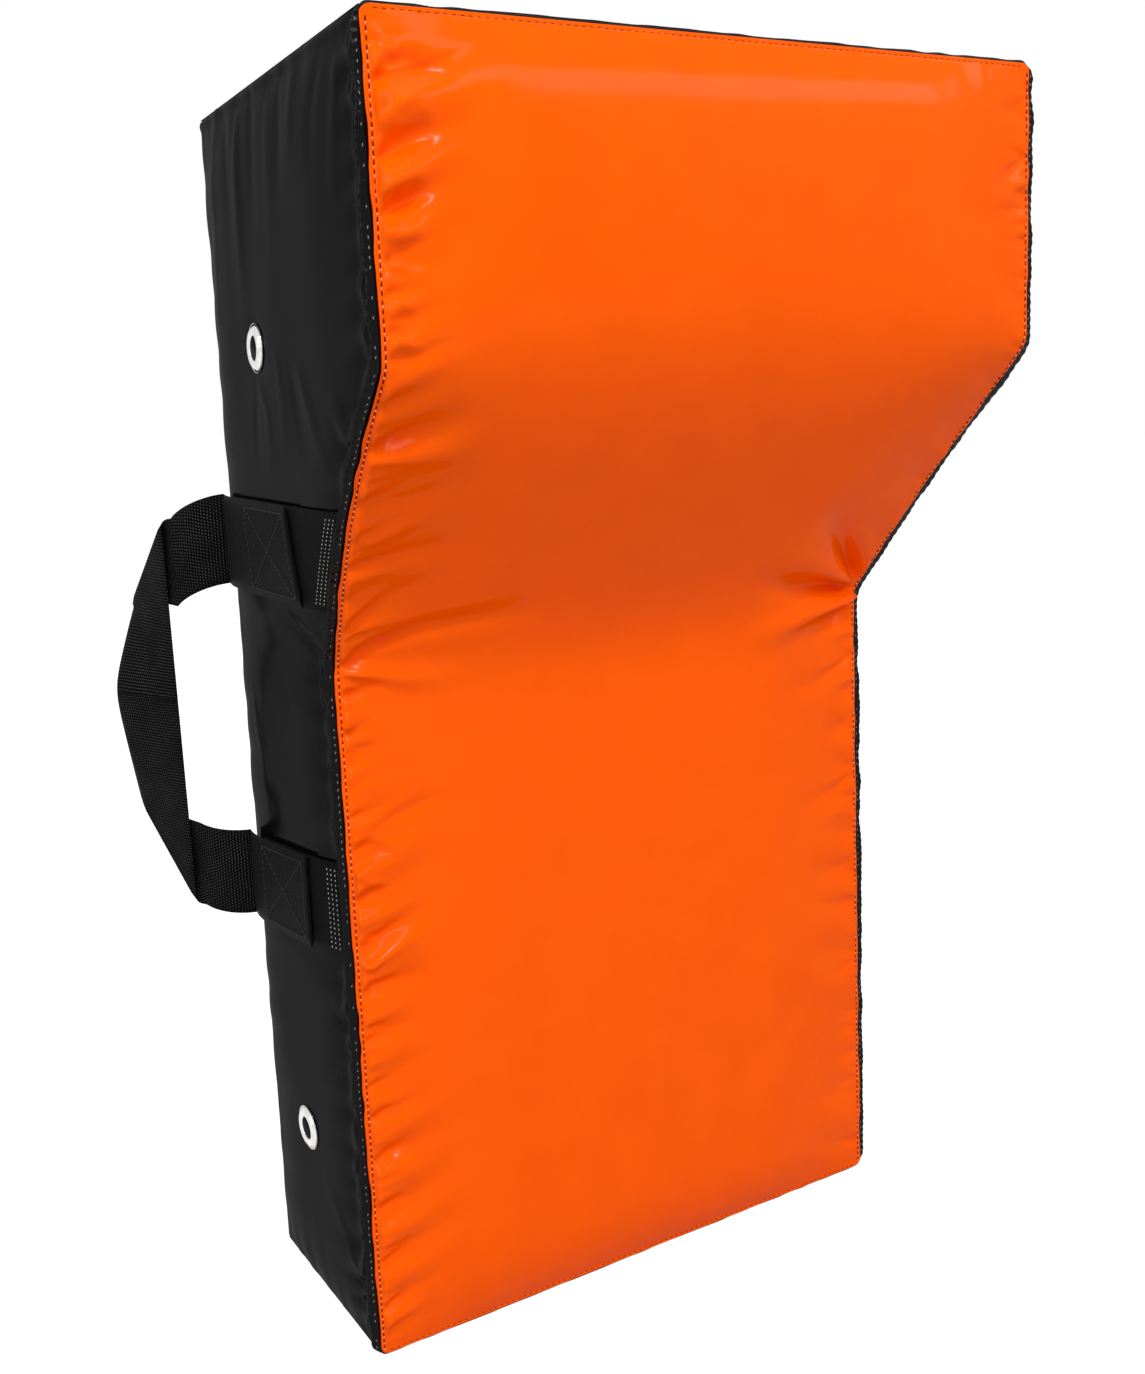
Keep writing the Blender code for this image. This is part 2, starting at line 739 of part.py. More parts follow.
def make_eyelet(name, side, height, setback, panel, foam, collection, cutters, materials):
    matrix = eyelet_frame(side, setback, height)
    washer_top = -COVER_WALL - SEAT_GAP
    washer_bottom = washer_top - WASHER_THICKNESS
    roll_top = washer_bottom - SEAT_GAP
    roll_bottom = roll_top - EYELET_ROLL
    hole_radius = EYELET_BARREL_RADIUS + SEAT_GAP
    ring = (
        (EYELET_BORE_RADIUS, SEAT_GAP + EYELET_DOME / 2),
        (EYELET_BARREL_RADIUS, SEAT_GAP + EYELET_DOME),
        ((EYELET_BARREL_RADIUS + EYELET_RADIUS) / 2, SEAT_GAP + EYELET_DOME),
        (EYELET_RADIUS - EYELET_EDGE, SEAT_GAP + EYELET_DOME / 2),
        (EYELET_RADIUS, SEAT_GAP + EYELET_EDGE),
        (EYELET_RADIUS, SEAT_GAP),
        (EYELET_BARREL_RADIUS, SEAT_GAP),
        (EYELET_BARREL_RADIUS, roll_top),
        (EYELET_BARREL_RADIUS + EYELET_ROLL, roll_top),
        (EYELET_BARREL_RADIUS + EYELET_ROLL, (roll_top + roll_bottom) / 2),
        (EYELET_BARREL_RADIUS, roll_bottom),
        (EYELET_BORE_RADIUS, roll_top),
    )
    washer = (
        (hole_radius, washer_top),
        (WASHER_RADIUS, washer_top),
        (WASHER_RADIUS, washer_bottom),
        (hole_radius, washer_bottom),
    )
    add_turned(f"{name}_eyelet", ring, matrix, collection, materials["nickel"])
    add_turned(f"{name}_eyelet_washer", washer, matrix, collection, materials["nickel"])
    cut_cylinder(
        panel,
        f"{name}_panel_hole",
        hole_radius,
        -COVER_WALL - CUT_OVERRUN,
        CUT_OVERRUN,
        matrix,
        cutters,
    )
    pocket_radius = WASHER_RADIUS + FOAM_GAP
    pocket_bottom = roll_bottom - FOAM_GAP
    cut_cylinder(
        foam, f"{name}_foam_pocket", pocket_radius, pocket_bottom, CUT_OVERRUN, matrix, cutters
    )


def main():
    clear_scene()
    shield = new_collection("tackle_shield")
    cutters = new_collection("cutters")
    materials = {
        "orange_pvc": new_material("orange_pvc", (1.0, 0.115, 0.0), 0.32),
        "black_pvc": new_material("black_pvc", (0.008, 0.008, 0.009), 0.35),
        "foam": new_material("foam", (0.62, 0.6, 0.52), 0.9),
        "webbing": new_material("webbing", (0.009, 0.009, 0.01), 0.7),
        "nickel": new_material("nickel", (0.75, 0.74, 0.72), 0.2, 1.0),
    }
    black = materials["black_pvc"]
    make_front_panel(shield, materials["orange_pvc"])
    make_rear_panel(shield, black)
    make_end_panel("top_panel", TOP_SEAM, top_height, TOP_ROLL, ROLL_SHARES, shield, black)
    make_end_panel(
        "bottom_panel", BOTTOM_SEAM, bottom_height, BASE_CHAMFER, CHAMFER_SHARES, shield, black
    )
    make_end_welt("top_seam_welt", TOP_SEAM, 1, shield, black)
    make_end_welt("bottom_seam_welt", BOTTOM_SEAM, -1, shield, black)
    slab = make_foam_slab(shield, materials["foam"])
    make_foam_wedge(shield, materials["foam"])
    for side_name, side in SIDES:
        panel = make_side_panel(f"{side_name}_side_panel", side, shield, black)
        make_side_welt(f"{side_name}_seam_welt", side, shield, black)
        make_side_webbing(side_name, side, shield, materials["webbing"])
        make_handle_loop(side_name, side, shield, materials["webbing"])
        for level, height, setback in EYELETS:
            name = f"{side_name}_{level}"
            make_eyelet(name, side, height, setback, panel, slab, shield, cutters, materials)


main()
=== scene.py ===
"""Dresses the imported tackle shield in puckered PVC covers, webbing handles and nickel eyelets."""

import math

import bmesh
import bpy
import numpy as np
from mathutils import Matrix, Vector


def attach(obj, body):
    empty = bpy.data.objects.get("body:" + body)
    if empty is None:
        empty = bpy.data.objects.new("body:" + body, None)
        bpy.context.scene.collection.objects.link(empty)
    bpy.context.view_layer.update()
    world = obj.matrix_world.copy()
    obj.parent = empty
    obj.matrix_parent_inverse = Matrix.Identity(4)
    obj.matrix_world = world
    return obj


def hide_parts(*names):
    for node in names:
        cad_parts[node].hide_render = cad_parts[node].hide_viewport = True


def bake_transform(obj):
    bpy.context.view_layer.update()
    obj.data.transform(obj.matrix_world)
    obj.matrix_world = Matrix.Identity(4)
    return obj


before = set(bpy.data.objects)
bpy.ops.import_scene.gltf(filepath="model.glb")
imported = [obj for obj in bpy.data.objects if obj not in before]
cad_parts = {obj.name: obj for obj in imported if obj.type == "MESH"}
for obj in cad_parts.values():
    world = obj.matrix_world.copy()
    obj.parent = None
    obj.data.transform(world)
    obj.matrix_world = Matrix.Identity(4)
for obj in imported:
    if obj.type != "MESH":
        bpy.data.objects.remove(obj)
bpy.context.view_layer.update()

# The cover's sizes, in metres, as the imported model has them
COVER_HEIGHT = 0.650
BLOCK_DEPTH = 0.244
SLAB_DEPTH = 0.124
HALF_WIDTH = 0.175
SLAB_HALF_WIDTH = 0.163
WALL = 0.001
BOTTOM = 0.0025
TOP = BOTTOM + COVER_HEIGHT
WAIST = BOTTOM + 0.573 * COVER_HEIGHT
FOLD = BOTTOM + 0.790 * COVER_HEIGHT
REAR = SLAB_DEPTH / 2
SLOPE = (BLOCK_DEPTH - SLAB_DEPTH) / (FOLD - WAIST)
FRONT_CROWN, FRONT_ROLL = 0.012, 0.055
SIDE_CROWN, SIDE_ROLL = 0.0045, 0.4 * SLAB_DEPTH
REAR_CROWN, REAR_ROLL = 0.005, 0.050
TOP_CROWN, TOP_ROLL = 0.006, 0.050
BASE_CROWN, BASE_CHAMFER = 0.0025, 0.008
FOLD_BEND = 0.018
SLOPE_SAG = 0.005
WELT_REACH = 0.0042
WELT_FACE = 0.0013
WELT_BACK = 0.0025
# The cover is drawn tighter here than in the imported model, as the photo shows it
SEAM_BEND, WAIST_BEND = 0.002, 0.014
LIP = 0.0028
# How far in from the seam its stitches run
STITCH_IN = 0.0016
# How far in from the seam the front takes to reach its full depth, and how that depth rounds off
INSIDE_REACH, INSIDE_POWER = 0.072, 1.35
CORNER, WELT_CORNER = 0.004, 0.008
TUCK = WALL * 0.9
# Between the edges of the side and rear covers and the shield's ends, and behind the welt
EDGE_GAP = 0.0013
WELT_CLEAR = 0.002
# Sections of the welts from face to back: shares of the way across and of the thickness
SIDE_WELT_SECTION = (
    (0, 0), (0.6, 0), (0.9, 0.05), (0.98, 0.25), (1, 0.5), (0.98, 0.75), (0.9, 0.95), (0.6, 1), (0, 1),
)
END_WELT_SECTION = ((0, 0), (0.8, 0), (0.97, 0.2), (1, 0.5), (0.97, 0.8), (0.8, 1), (0, 1))

WEB_WIDTH = 0.050
WEB_THICKNESS = 0.0018
ANCHOR_LIFT = 0.0004
TAB_LIFT = 0.0026
UPPER_STRAP = BOTTOM + 0.6554 * COVER_HEIGHT
LOWER_STRAP = BOTTOM + 0.3577 * COVER_HEIGHT
STRAPS = (("upper", UPPER_STRAP, 0.0015, 0.122), ("lower", LOWER_STRAP, 0.0145, 0.090))
ANCHOR_SETBACK = 0.025
BEND_RADIUS = 0.031
START_HEADING = math.radians(10)
UPPER_HEADING = math.radians(78)
LOWER_HEADING = math.radians(70)
HALVES = ((1, UPPER_HEADING, 0.0135), (-1, LOWER_HEADING, 0.003))
GRIP_HEADING = math.radians(57)
GRIP_LIFT = 0.006
TWIST_START = 0.060
DROP_POWER = 1.7
FOLD_RADIUS = 0.002
FOLD_TURN = math.pi * FOLD_RADIUS
PIVOT_OUT = HALF_WIDTH + TAB_LIFT + WEB_THICKNESS / 2
PIVOT_HEIGHT = (UPPER_STRAP + LOWER_STRAP) / 2

EYELETS = (
    ("upper", BOTTOM + 0.8115 * COVER_HEIGHT, 0.088),
    ("lower", BOTTOM + 0.1538 * COVER_HEIGHT, 0.057),
)
EYELET_RADIUS = 0.012
BORE_RADIUS = 0.006
BARREL_RADIUS = 0.007
EYELET_HOLE = 0.0085
GAUZE_DEPTH = 0.0022
# The eyelet's section behind its dome, as radius and height over the cover: rim, then barrel
SEAT = 0.0003
EYELET_BACK = (
    (EYELET_RADIUS, SEAT + 0.0002),
    (EYELET_RADIUS - 0.0002, SEAT),
    (BARREL_RADIUS + 0.0004, SEAT),
)
BARREL = (
    (BARREL_RADIUS, SEAT - 0.0004),
    (BARREL_RADIUS, -0.0024),
    (BARREL_RADIUS + 0.0010, -0.0026),
    (BARREL_RADIUS + 0.0011, -0.0031),
    (BARREL_RADIUS + 0.0003, -0.0036),
    (BORE_RADIUS + 0.0004, -0.0032),
    (BORE_RADIUS, -0.0024),
)

SIDES = (("left", -1), ("right", 1))

FOAM_INSET = 0.006
FOAM_FRONT_INSET = FOAM_INSET * 2.6

# How finely the webbing is cut: rows on each tab, bend and crease and on half of the grip
TAB_ROWS, BEND_ROWS, CREASE_ROWS, GRIP_ROWS = 64, 40, 18, 50
RIBBON_COLUMNS = 13
# Where the two halves of the grip meet they are evened out: fully up to the first number
# of rows away, and not beyond the second
EVEN_ROWS = (30, 44)
EVEN_PASSES, EVEN_SHARE = 60, 0.9

# Styles of stitches: length, gap and radius, how far they stand out in radii, and how far they slant
FRONT_STITCH = (0.0021, 0.0014, 0.00034, 0.5, 0.08)
# Pale dots between the front stitches: painted glints
GLINT_DOT = (0.0008, 0.0027, 0.00034, 0.9, 0.1)
# Grey dashes on the black welt: its black stitches, painted grey for their glints
WELT_GLINT_STITCH = (0.0013, 0.0025, 0.00022, 0.4, 0.4)
WELT_BACK_STITCH = (0.0030, 0.0012, 0.00040, 0.5, 0.08)
END_STITCH = (0.0020, 0.0016, 0.00022, 0.0, 0.08)
BAR_STITCH = (0.0011, 0.0014, 0.00022, 0.4, 0.2)
BOX_STITCH = (0.0026, 0.0009, 0.00034, 0.6, 0.05)
# The form of every stitch: places of its rings of points, their number of points,
# the square of the share of its radius that is left at its tips, and its arch in radii
STITCH_PLACES = (-1.0, -0.86, -0.45, 0.0, 0.45, 0.86, 1.0)
STITCH_SIDES = 6
STITCH_TIP = 0.02
STITCH_ARCH = 0.6
PATH_STEP = 0.001
# Rows of bar stitches behind the front seam, and the boxed crosses on the handle's ends
BAR_ROWS, BAR_START, BAR_SPACING, BAR_REACH = 3, 0.0075, 0.0035, 0.022
BOX_MARGIN = 0.004
BOX_LENGTH = {"upper": 0.062, "lower": 0.056}

# The photo's camera, with focal length and centre in pixels of the photo
PHOTO_WIDTH, PHOTO_HEIGHT = 1145, 1374
FOCAL_PIXELS = 1346.8828
CENTRE_ACROSS, CENTRE_DOWN = 549.505, 574.774
CAMERA_TURN = Vector((1.6708929, -0.4534040, 0.3256750))
CAMERA_SHIFT = Vector((-0.0034223, 0.3812439, 0.8955922))
SENSOR = 36

# Lamps: name, place, what they point at, size and power
LAMPS = (
    ("key", (-1.0, -1.7, 2.3), (0, 0, 0.38), (0.32, 0.32), 27),
    ("fill", (1.9, -1.9, 0.9), (0, 0, 0.3), (1.4, 1.8), 3),
    ("strip", (-2.4, -0.2, 1.3), (0, 0, 0.4), (0.07, 1.3), 13),
    ("glint", (-1.15, -2.05, 1.2), (-0.1, -0.1, 0.4), (0.07, 1.9), 15),
    ("band", (0.85, -1.6, 1.78), (0, -0.1, 0.5), (2.2, 0.45), 17),
    ("top", (0.1, -0.2, 2.6), (0, 0, 0.3), (1.8, 1.2), 9),
    ("rear", (1.3, 2.2, 1.7), (0, 0, 0.35), (1.6, 1.4), 36),
)
WORLD_LIGHT = 0.22
FLOOR_GLOW, FLOOR_GLOW_SHARE = 1.6, 0.60

# Heights at which the fabric is drawn into the side seams, with a bulge between each two
LEFT_VALLEYS = (
    -0.010, 0.0115, 0.0290, 0.0550, 0.0835, 0.1115, 0.1370, 0.1535, 0.1780, 0.2025, 0.2265, 0.2530, 0.2790,
    0.2970, 0.3125, 0.3255, 0.3405, 0.3585, 0.3745, 0.3945, 0.4120, 0.4280, 0.4425, 0.4595, 0.4845, 0.5005,
    0.5185, 0.5290, 0.5440, 0.5565, 0.5745, 0.5960, 0.6245, 0.6380, 0.6500, 0.6700,
)
RIGHT_VALLEYS = (
    -0.010, 0.0190, 0.0535, 0.0805, 0.1075, 0.1475, 0.1800, 0.1995, 0.2255, 0.2445, 0.2665, 0.2890, 0.3135,
    0.3355, 0.3570, 0.3760, 0.4070, 0.4430, 0.4715, 0.4975, 0.5130, 0.5375, 0.5675, 0.5870, 0.6065, 0.6255,
    0.6495, 0.6700,
)
# Heights along the two seams, and the share of the full bulge there
LEFT_STRENGTH = ((0.0, 0.45), (0.10, 0.55), (0.30, 0.60), (0.36, 0.55), (0.40, 0.60), (0.50, 0.55),
                 (0.525, 0.9), (0.56, 1.0), (0.63, 1.0), (0.645, 0.6), (0.66, 0.3))
RIGHT_STRENGTH = ((0.0, 0.35), (0.25, 0.45), (0.35, 0.45), (0.39, 0.40), (0.50, 0.25), (0.55, 0.28),
                  (0.58, 0.50), (0.60, 0.45), (0.63, 0.25), (0.66, 0.15))

# How a bulge between two valleys is formed. Shares are of its own width, and lengths are in metres
ROUND_SHARE = 0.7
SINK_START, SINK_END_SHARE = 0.002, 0.4
SINK = (0.24, 0.42)
RISE_SHARE, RISE_BASE = 0.02, 0.0002
FADE_POWER = 1.6
UNEVEN = (0.6, 1.3)
# Depth, skew and reach of the front's bulges, and how far in from the stitches they start
LARGE_BULGE = (0.38, 0.36, 0.85)
SMALL_BULGE = (0.23, 0.15, 1.0)
BULGE_START = 0.0007
# The front's two side seams: side, valleys, strength along the seam, and the strengths
# of the large and the small bulges
FRONT_SEAMS = (
    (-1, LEFT_VALLEYS, LEFT_STRENGTH, 1.0, 0.9),
    (1, RIGHT_VALLEYS, RIGHT_STRENGTH, 0.6, 0.5),
)
# Where the even puckers of all seams may lie: along a height, a width, and a depth at the block and the slab
HEIGHT_SPAN, WIDTH_SPAN, DEPTH_SPAN, SLAB_SPAN = (-0.01, 0.67), (-0.19, 0.19), (-0.20, 0.09), (-0.09, 0.09)
# How much the folds of the two tables below are raised or lowered, and how far in from the
# stitches the front's folds take to reach that: grooves more slowly than ridges
FRONT_FOLD_SCALE, SIDE_FOLD_SCALE = 1.6, 0.6
GROOVE_FADE, FOLD_FADE = 0.006, 0.0015
# A distance beyond every pucker, for the side that a row of them doesn't touch
FAR = 1.0

# Single folds of the front cover, from the seam inwards: points (x, height), then how far
# the fold stands out and its width, all in millimetres
FRONT_FOLDS = (
    (((-172, 624), (-164, 625), (-171, 618), (-165, 605)), 1.3, 2.2),
    (((-172, 594), (-160, 597), (-166, 589), (-163, 580)), 1.3, 2.2),
    (((-171, 574), (-163, 574), (-168, 568), (-160, 562)), 1.2, 2.0),
    (((-171, 556), (-160, 553), (-154, 549)), 1.1, 2.0),
    (((-170, 544), (-161, 538), (-156, 536)), 1.1, 2.0),
    (((-170, 528), (-160, 523), (-152, 522)), 1.1, 2.2),
    (((-170, 643), (-165, 636), (-163, 628)), 1.0, 2.0),
    (((-168, 612), (-157, 618), (-148, 606), (-150, 598)), 1.6, 3.4),
    (((-170, 630), (-158, 633), (-148, 628), (-138, 618)), -2.0, 4.5),
    (((-172, 599), (-160, 604), (-146, 608), (-136, 606)), -2.0, 4.2),
    (((-168, 585), (-158, 590), (-147, 580)), 1.5, 3.4),
    (((-172, 577), (-158, 583), (-143, 590), (-134, 590)), -1.8, 4.0),
    (((-168, 565), (-158, 568), (-148, 561)), 1.3, 3.2),
    (((-172, 550), (-158, 556), (-146, 562)), -1.2, 3.6),
    (((-172, 534), (-158, 538), (-146, 546)), -1.2, 3.6),
    (((-172, 516), (-158, 520), (-140, 528)), -1.2, 3.6),
    (((-174, 485), (-165, 486), (-151, 491), (-128, 496)), -2.8, 4.6),
    (((-173, 482), (-158, 481), (-140, 479), (-118, 480)), 1.8, 4.6),
    (((-170, 456), (-158, 458), (-142, 461), (-118, 468)), -1.5, 4.4),
    (((-170, 444), (-160, 442), (-146, 449), (-130, 454)), 1.5, 3.4),
    (((-168, 428), (-156, 430), (-138, 434), (-112, 438)), -1.6, 4.6),
    (((-165, 390), (-157, 395), (-144, 399), (-130, 402)), 2.0, 3.0),
    (((-165, 391), (-159, 392), (-152, 392)), -0.9, 1.4),
    (((-164, 396), (-155, 404), (-143, 413), (-120, 420)), -2.0, 4.2),
    (((-163, 376), (-149, 385), (-126, 392), (-96, 395), (-60, 398)), -3.4, 5.0),
    (((-163, 374), (-150, 371), (-130, 366), (-96, 363)), 2.6, 5.4),
    (((-163, 373), (-158, 366), (-152, 362)), 1.0, 1.6),
    (((-163, 366), (-153, 357), (-138, 352)), -1.1, 3.0),
    (((163, 380), (148, 394), (124, 412), (88, 436)), -6.4, 7.0),
    (((163, 378), (146, 385), (118, 396), (80, 412)), 3.0, 5.0),
    (((163, 377), (134, 381), (100, 386), (58, 397)), -5.4, 5.6),
    (((163, 374), (142, 373), (120, 370), (88, 362), (64, 358)), 5.2, 6.6),
    (((163, 374), (152, 372), (144, 371)), 0.9, 1.4),
    (((163, 371), (150, 364), (136, 358), (118, 352)), -2.8, 5.0),
    (((163, 352), (152, 352), (140, 348)), 1.2, 3.4),
    (((163, 336), (150, 331), (130, 325), (96, 322)), -1.6, 4.6),
    (((163, 325), (148, 320), (128, 312)), 1.3, 4.6),
    (((163, 300), (150, 294), (130, 288)), -1.1, 4.2),
    (((163, 262), (148, 257), (126, 252), (104, 250)), -1.4, 4.6),
    (((163, 246), (148, 243), (128, 240)), 1.1, 4.0),
    (((163, 205), (146, 206), (120, 210)), -1.3, 4.8),
    (((163, 188), (146, 190), (124, 194)), 1.0, 4.0),
    (((163, 140), (146, 140), (126, 143)), -1.1, 4.6),
    (((163, 98), (146, 101), (128, 106)), -1.0, 4.4),
    (((163, 62), (146, 65), (126, 68)), -1.1, 4.4),
    (((174, 606), (160, 600), (146, 592)), -1.6, 3.6),
    (((174, 596), (162, 592), (150, 584)), 1.2, 2.8),
    (((174, 584), (160, 581), (142, 580)), -1.2, 3.2),
    (((174, 571), (163, 570), (152, 575)), 1.2, 2.8),
    (((174, 634), (162, 630), (152, 624)), -1.2, 3.4),
    (((-166, 274), (-158, 275), (-148, 277), (-136, 281)), -1.9, 3.6),
    (((-163, 271), (-156, 267), (-148, 262), (-136, 259)), 1.8, 2.6),
    (((-150, 290), (-136, 296), (-118, 301), (-92, 299)), -1.8, 5.4),
    (((-150, 284), (-138, 281), (-120, 279)), 1.3, 4.6),
    (((-163, 224), (-155, 220), (-148, 224), (-136, 230), (-120, 236)), 2.6, 3.2),
    (((-163, 212), (-152, 208), (-134, 208), (-112, 212)), -2.0, 5.0),
    (((-160, 236), (-150, 234), (-134, 242), (-118, 246)), -1.6, 4.2),
    (((-163, 338), (-154, 333), (-143, 330)), -1.2, 3.4),
    (((-163, 345), (-154, 343), (-146, 339)), 1.2, 2.6),
    (((-163, 318), (-152, 314), (-138, 308)), 1.1, 3.6),
    (((-163, 188), (-150, 184), (-134, 183)), -1.3, 3.8),
    (((-163, 176), (-150, 175), (-136, 178)), 1.1, 3.2),
    (((-163, 152), (-150, 150), (-132, 153)), -1.4, 4.0),
    (((-163, 118), (-150, 117), (-130, 121)), -1.3, 4.0),
    (((-163, 106), (-152, 107), (-138, 111)), 1.0, 3.0),
    (((-163, 80), (-150, 82), (-132, 88)), -1.4, 4.0),
    (((-163, 54), (-150, 57), (-134, 64)), -1.3, 3.6),
    (((-163, 28), (-152, 33), (-140, 40)), -1.1, 3.2),
)
# Single folds of the side covers, in the same way: points (y, height)
SIDE_FOLDS = (
    (((-19, 648), (-14, 610), (-11, 560), (-20, 536)), 2.0, 5.0),
    (((4, 648), (2, 610), (8, 560)), -1.3, 5.0),
    (((-40, 648), (-40, 620), (-34, 580)), -1.5, 4.0),
    (((26, 646), (40, 560), (46, 470)), 0.9, 5.0),
    (((-84, 650), (-83, 622), (-78, 590)), -1.9, 3.6),
    (((-70, 650), (-66, 615), (-62, 560)), 1.2, 5.0),
    (((-108, 650), (-100, 622), (-96, 596)), 1.4, 4.0),
    (((-140, 645), (-128, 620), (-122, 590)), -1.4, 4.0),
    (((-160, 640), (-150, 600), (-146, 560)), 1.0, 4.5),
    (((-26, 514), (-38, 500), (-36, 466)), 1.3, 3.4),
    (((-22, 514), (-16, 490), (-14, 466)), -1.1, 3.4),
    (((-90, 520), (-108, 488), (-121, 466)), 1.6, 4.2),
    (((-78, 520), (-88, 490), (-92, 466)), -1.1, 5.0),
    (((-60, 528), (-64, 500), (-56, 466)), 0.9, 5.0),
    (((-157, 487), (-147, 489), (-140, 495), (-128, 508)), 2.4, 2.6),
    (((-150, 482), (-138, 484), (-126, 494)), -2.2, 3.4),
    (((-62, 377), (-52, 384), (-36, 392), (-6, 402)), -3.0, 3.6),
    (((-62, 374), (-54, 376), (-40, 372), (-20, 366)), 2.2, 2.8),
    (((-64, 382), (-56, 390), (-48, 398)), 1.6, 2.4),
    (((-58, 352), (-30, 348), (10, 352)), 0.8, 6.0),
    (((-58, 312), (-46, 322), (-30, 326)), -1.0, 4.0),
    (((-58, 182), (-30, 150), (-10, 118)), -1.0, 4.5),
    (((-54, 208), (-40, 190), (-14, 176)), 0.9, 5.0),
    (((-52, 40), (-30, 66), (-8, 90)), 0.9, 4.0),
    (((40, 350), (30, 300), (36, 262)), 0.7, 5.0),
)


# Numbers on grids


def mix(start, end, share):
    return start + (end - start) * share


def ramp(value, start, end):
    """0 at the start and 1 at the end, level beyond both."""
    return np.clip((value - start) / (end - start), 0, 1)


def ease(value, start, end):
    share = ramp(value, start, end)
    return share * share * (3 - 2 * share)


def roll(distance, reach):
    return 1 - (1 - np.clip(distance / reach, 0, 1)) ** 3


def soft_ramp(height, bend, straight=30):
    """0 below and the height above, with a smooth bend between that ends at the straight ratio."""
    ratio = height / bend
    return np.where(ratio > straight, height, bend * np.log1p(np.exp(np.minimum(ratio, straight))))


def noise(u, v, cell, seed, size=64):
    """Smooth noise from -1 to 1 with lumps of the given size."""
    table = np.random.default_rng(seed).uniform(-1, 1, (size, size))
    p, q = u / cell, v / cell
    i, j = np.floor(p).astype(int), np.floor(q).astype(int)
    s, t = p - i, q - j
    s, t = s * s * (3 - 2 * s), t * t * (3 - 2 * t)
    low = mix(table[i % size, j % size], table[(i + 1) % size, j % size], s)
    high = mix(table[i % size, (j + 1) % size], table[(i + 1) % size, (j + 1) % size], s)
    return mix(low, high, t)


def ridge(distance, middle, width):
    """1 at the middle, fading out like a bell on both sides."""
    return np.exp(-(((distance - middle) / width) ** 2))


def fold_line(u, v, points, height, width):
    """A rounded ridge or groove along a line, which fades out at both ends."""
    best = np.full(u.shape, np.inf)
    along = np.zeros(u.shape)
    lengths = [math.dist(a, b) for a, b in zip(points, points[1:])]
    total, done = sum(lengths), 0.0
    for (ax, ay), (bx, by), length in zip(points, points[1:], lengths):
        dx, dy = (bx - ax) / length, (by - ay) / length
        place = np.clip((u - ax) * dx + (v - ay) * dy, 0, length)
        distance = np.hypot(u - ax - dx * place, v - ay - dy * place)
        closer = distance < best
        best = np.where(closer, distance, best)
        along = np.where(closer, (done + place) / total, along)
        done += length
    fade = np.minimum(1, 4 * along + 0.35) * np.cos(along * math.pi / 2) ** 1.2
    spread = width * (0.4 + 1.3 * along)
    return height * fade * np.exp(-((best / spread) ** 2))


def folds(u, v, lines):
    """The folds added up, at places in metres from lines in millimetres."""
    total = np.zeros(u.shape)
    for points, height, width in lines:
        total += fold_line(u * 1000, v * 1000, points, height, width) / 1000
    return total


def puckers(place, distance, valleys, strength, depth, skew, reach):
    """Bulges between the places where a seam draws the fabric in. Distance is in from the seam.

    Depth and reach are shares of a bulge's own width, and skew leans the bulges along the seam.
    """
    valleys = np.asarray(valleys)
    spot = place - skew * distance
    after = np.clip(np.searchsorted(valleys, spot), 1, len(valleys) - 1)
    low, high = valleys[after - 1], valleys[after]
    pitch = high - low
    share = np.clip((spot - low) / pitch, 0, 1)
    cusp = 1 - (2 * share - 1) ** 2
    wave = (1 - np.cos(2 * math.pi * share)) / 2
    shape = mix(cusp, wave, np.clip(distance / (ROUND_SHARE * pitch), 0, 1))
    shape = shape - mix(*SINK, ramp(distance, SINK_START, SINK_END_SHARE * pitch))
    away = np.maximum(distance, 0)
    rise = 1 - np.exp(-away / (RISE_SHARE * pitch + RISE_BASE))
    fade = np.exp(-((away / (reach * pitch)) ** FADE_POWER))
    uneven = np.random.default_rng(len(valleys)).uniform(*UNEVEN, len(valleys))[after]
    return depth * pitch * shape * rise * fade * strength * uneven


def fine_valleys(start, end, pitch, seed, jitter=0.32):
    """Uneven places at about the pitch."""
    count = int((end - start) / pitch)
    off = np.random.default_rng(seed).uniform(-jitter, jitter, count + 1)
    return start + (np.arange(count + 1) + off) * (end - start) / count


def even_puckers(place, distance, span, pitch, seed, *look):
    """Puckers at about the pitch. Look is their strength, depth, skew and reach."""
    return puckers(place, distance, fine_valleys(*span, pitch, seed), *look)


def table_at(place, table):
    places, values = zip(*table)
    return np.interp(place, places, values)


# The cover's surfaces


def front_depth(z, inside):
    along = ramp(z, WAIST, FOLD)
    rise = soft_ramp(z - WAIST, mix(SEAM_BEND, WAIST_BEND, inside))
    rise = rise - soft_ramp(z - FOLD, mix(SEAM_BEND, FOLD_BEND, inside))
    return SLAB_DEPTH + SLOPE * rise - SLOPE_SAG * np.sin(math.pi * along) * (1 - inside)


def seam_y(z):
    return REAR - front_depth(z, 0)


def half_width(z):
    return mix(SLAB_HALF_WIDTH, HALF_WIDTH, np.sin(ramp(z, WAIST, FOLD) * math.pi / 2))


def front_y(x, z):
    inside = 1 - (1 - ramp(half_width(z) - LIP - abs(x), 0, INSIDE_REACH)) ** INSIDE_POWER
    crown = FRONT_CROWN * inside * roll(TOP - LIP - z, FRONT_ROLL) * roll(z - BOTTOM - LIP, FRONT_ROLL)
    return REAR - front_depth(z, inside) - crown


def side_base(y, z):
    return mix(HALF_WIDTH, half_width(z), (REAR - y) / (REAR - seam_y(z)))


def side_reach(y, z):
    crown = SIDE_CROWN * roll(REAR - y, SIDE_ROLL) * roll(y - seam_y(z), SIDE_ROLL)
    return side_base(y, z) + crown * roll(TOP - z, SIDE_ROLL) * roll(z - BOTTOM, SIDE_ROLL)


def rear_crown(x, z):
    crown = REAR_CROWN * roll(HALF_WIDTH - abs(x), REAR_ROLL)
    return crown * roll(TOP - z, REAR_ROLL) * roll(z - BOTTOM, REAR_ROLL)


def end_half_width(y, seam):
    return mix(HALF_WIDTH, half_width(seam), (REAR - y) / (REAR - seam_y(seam)))


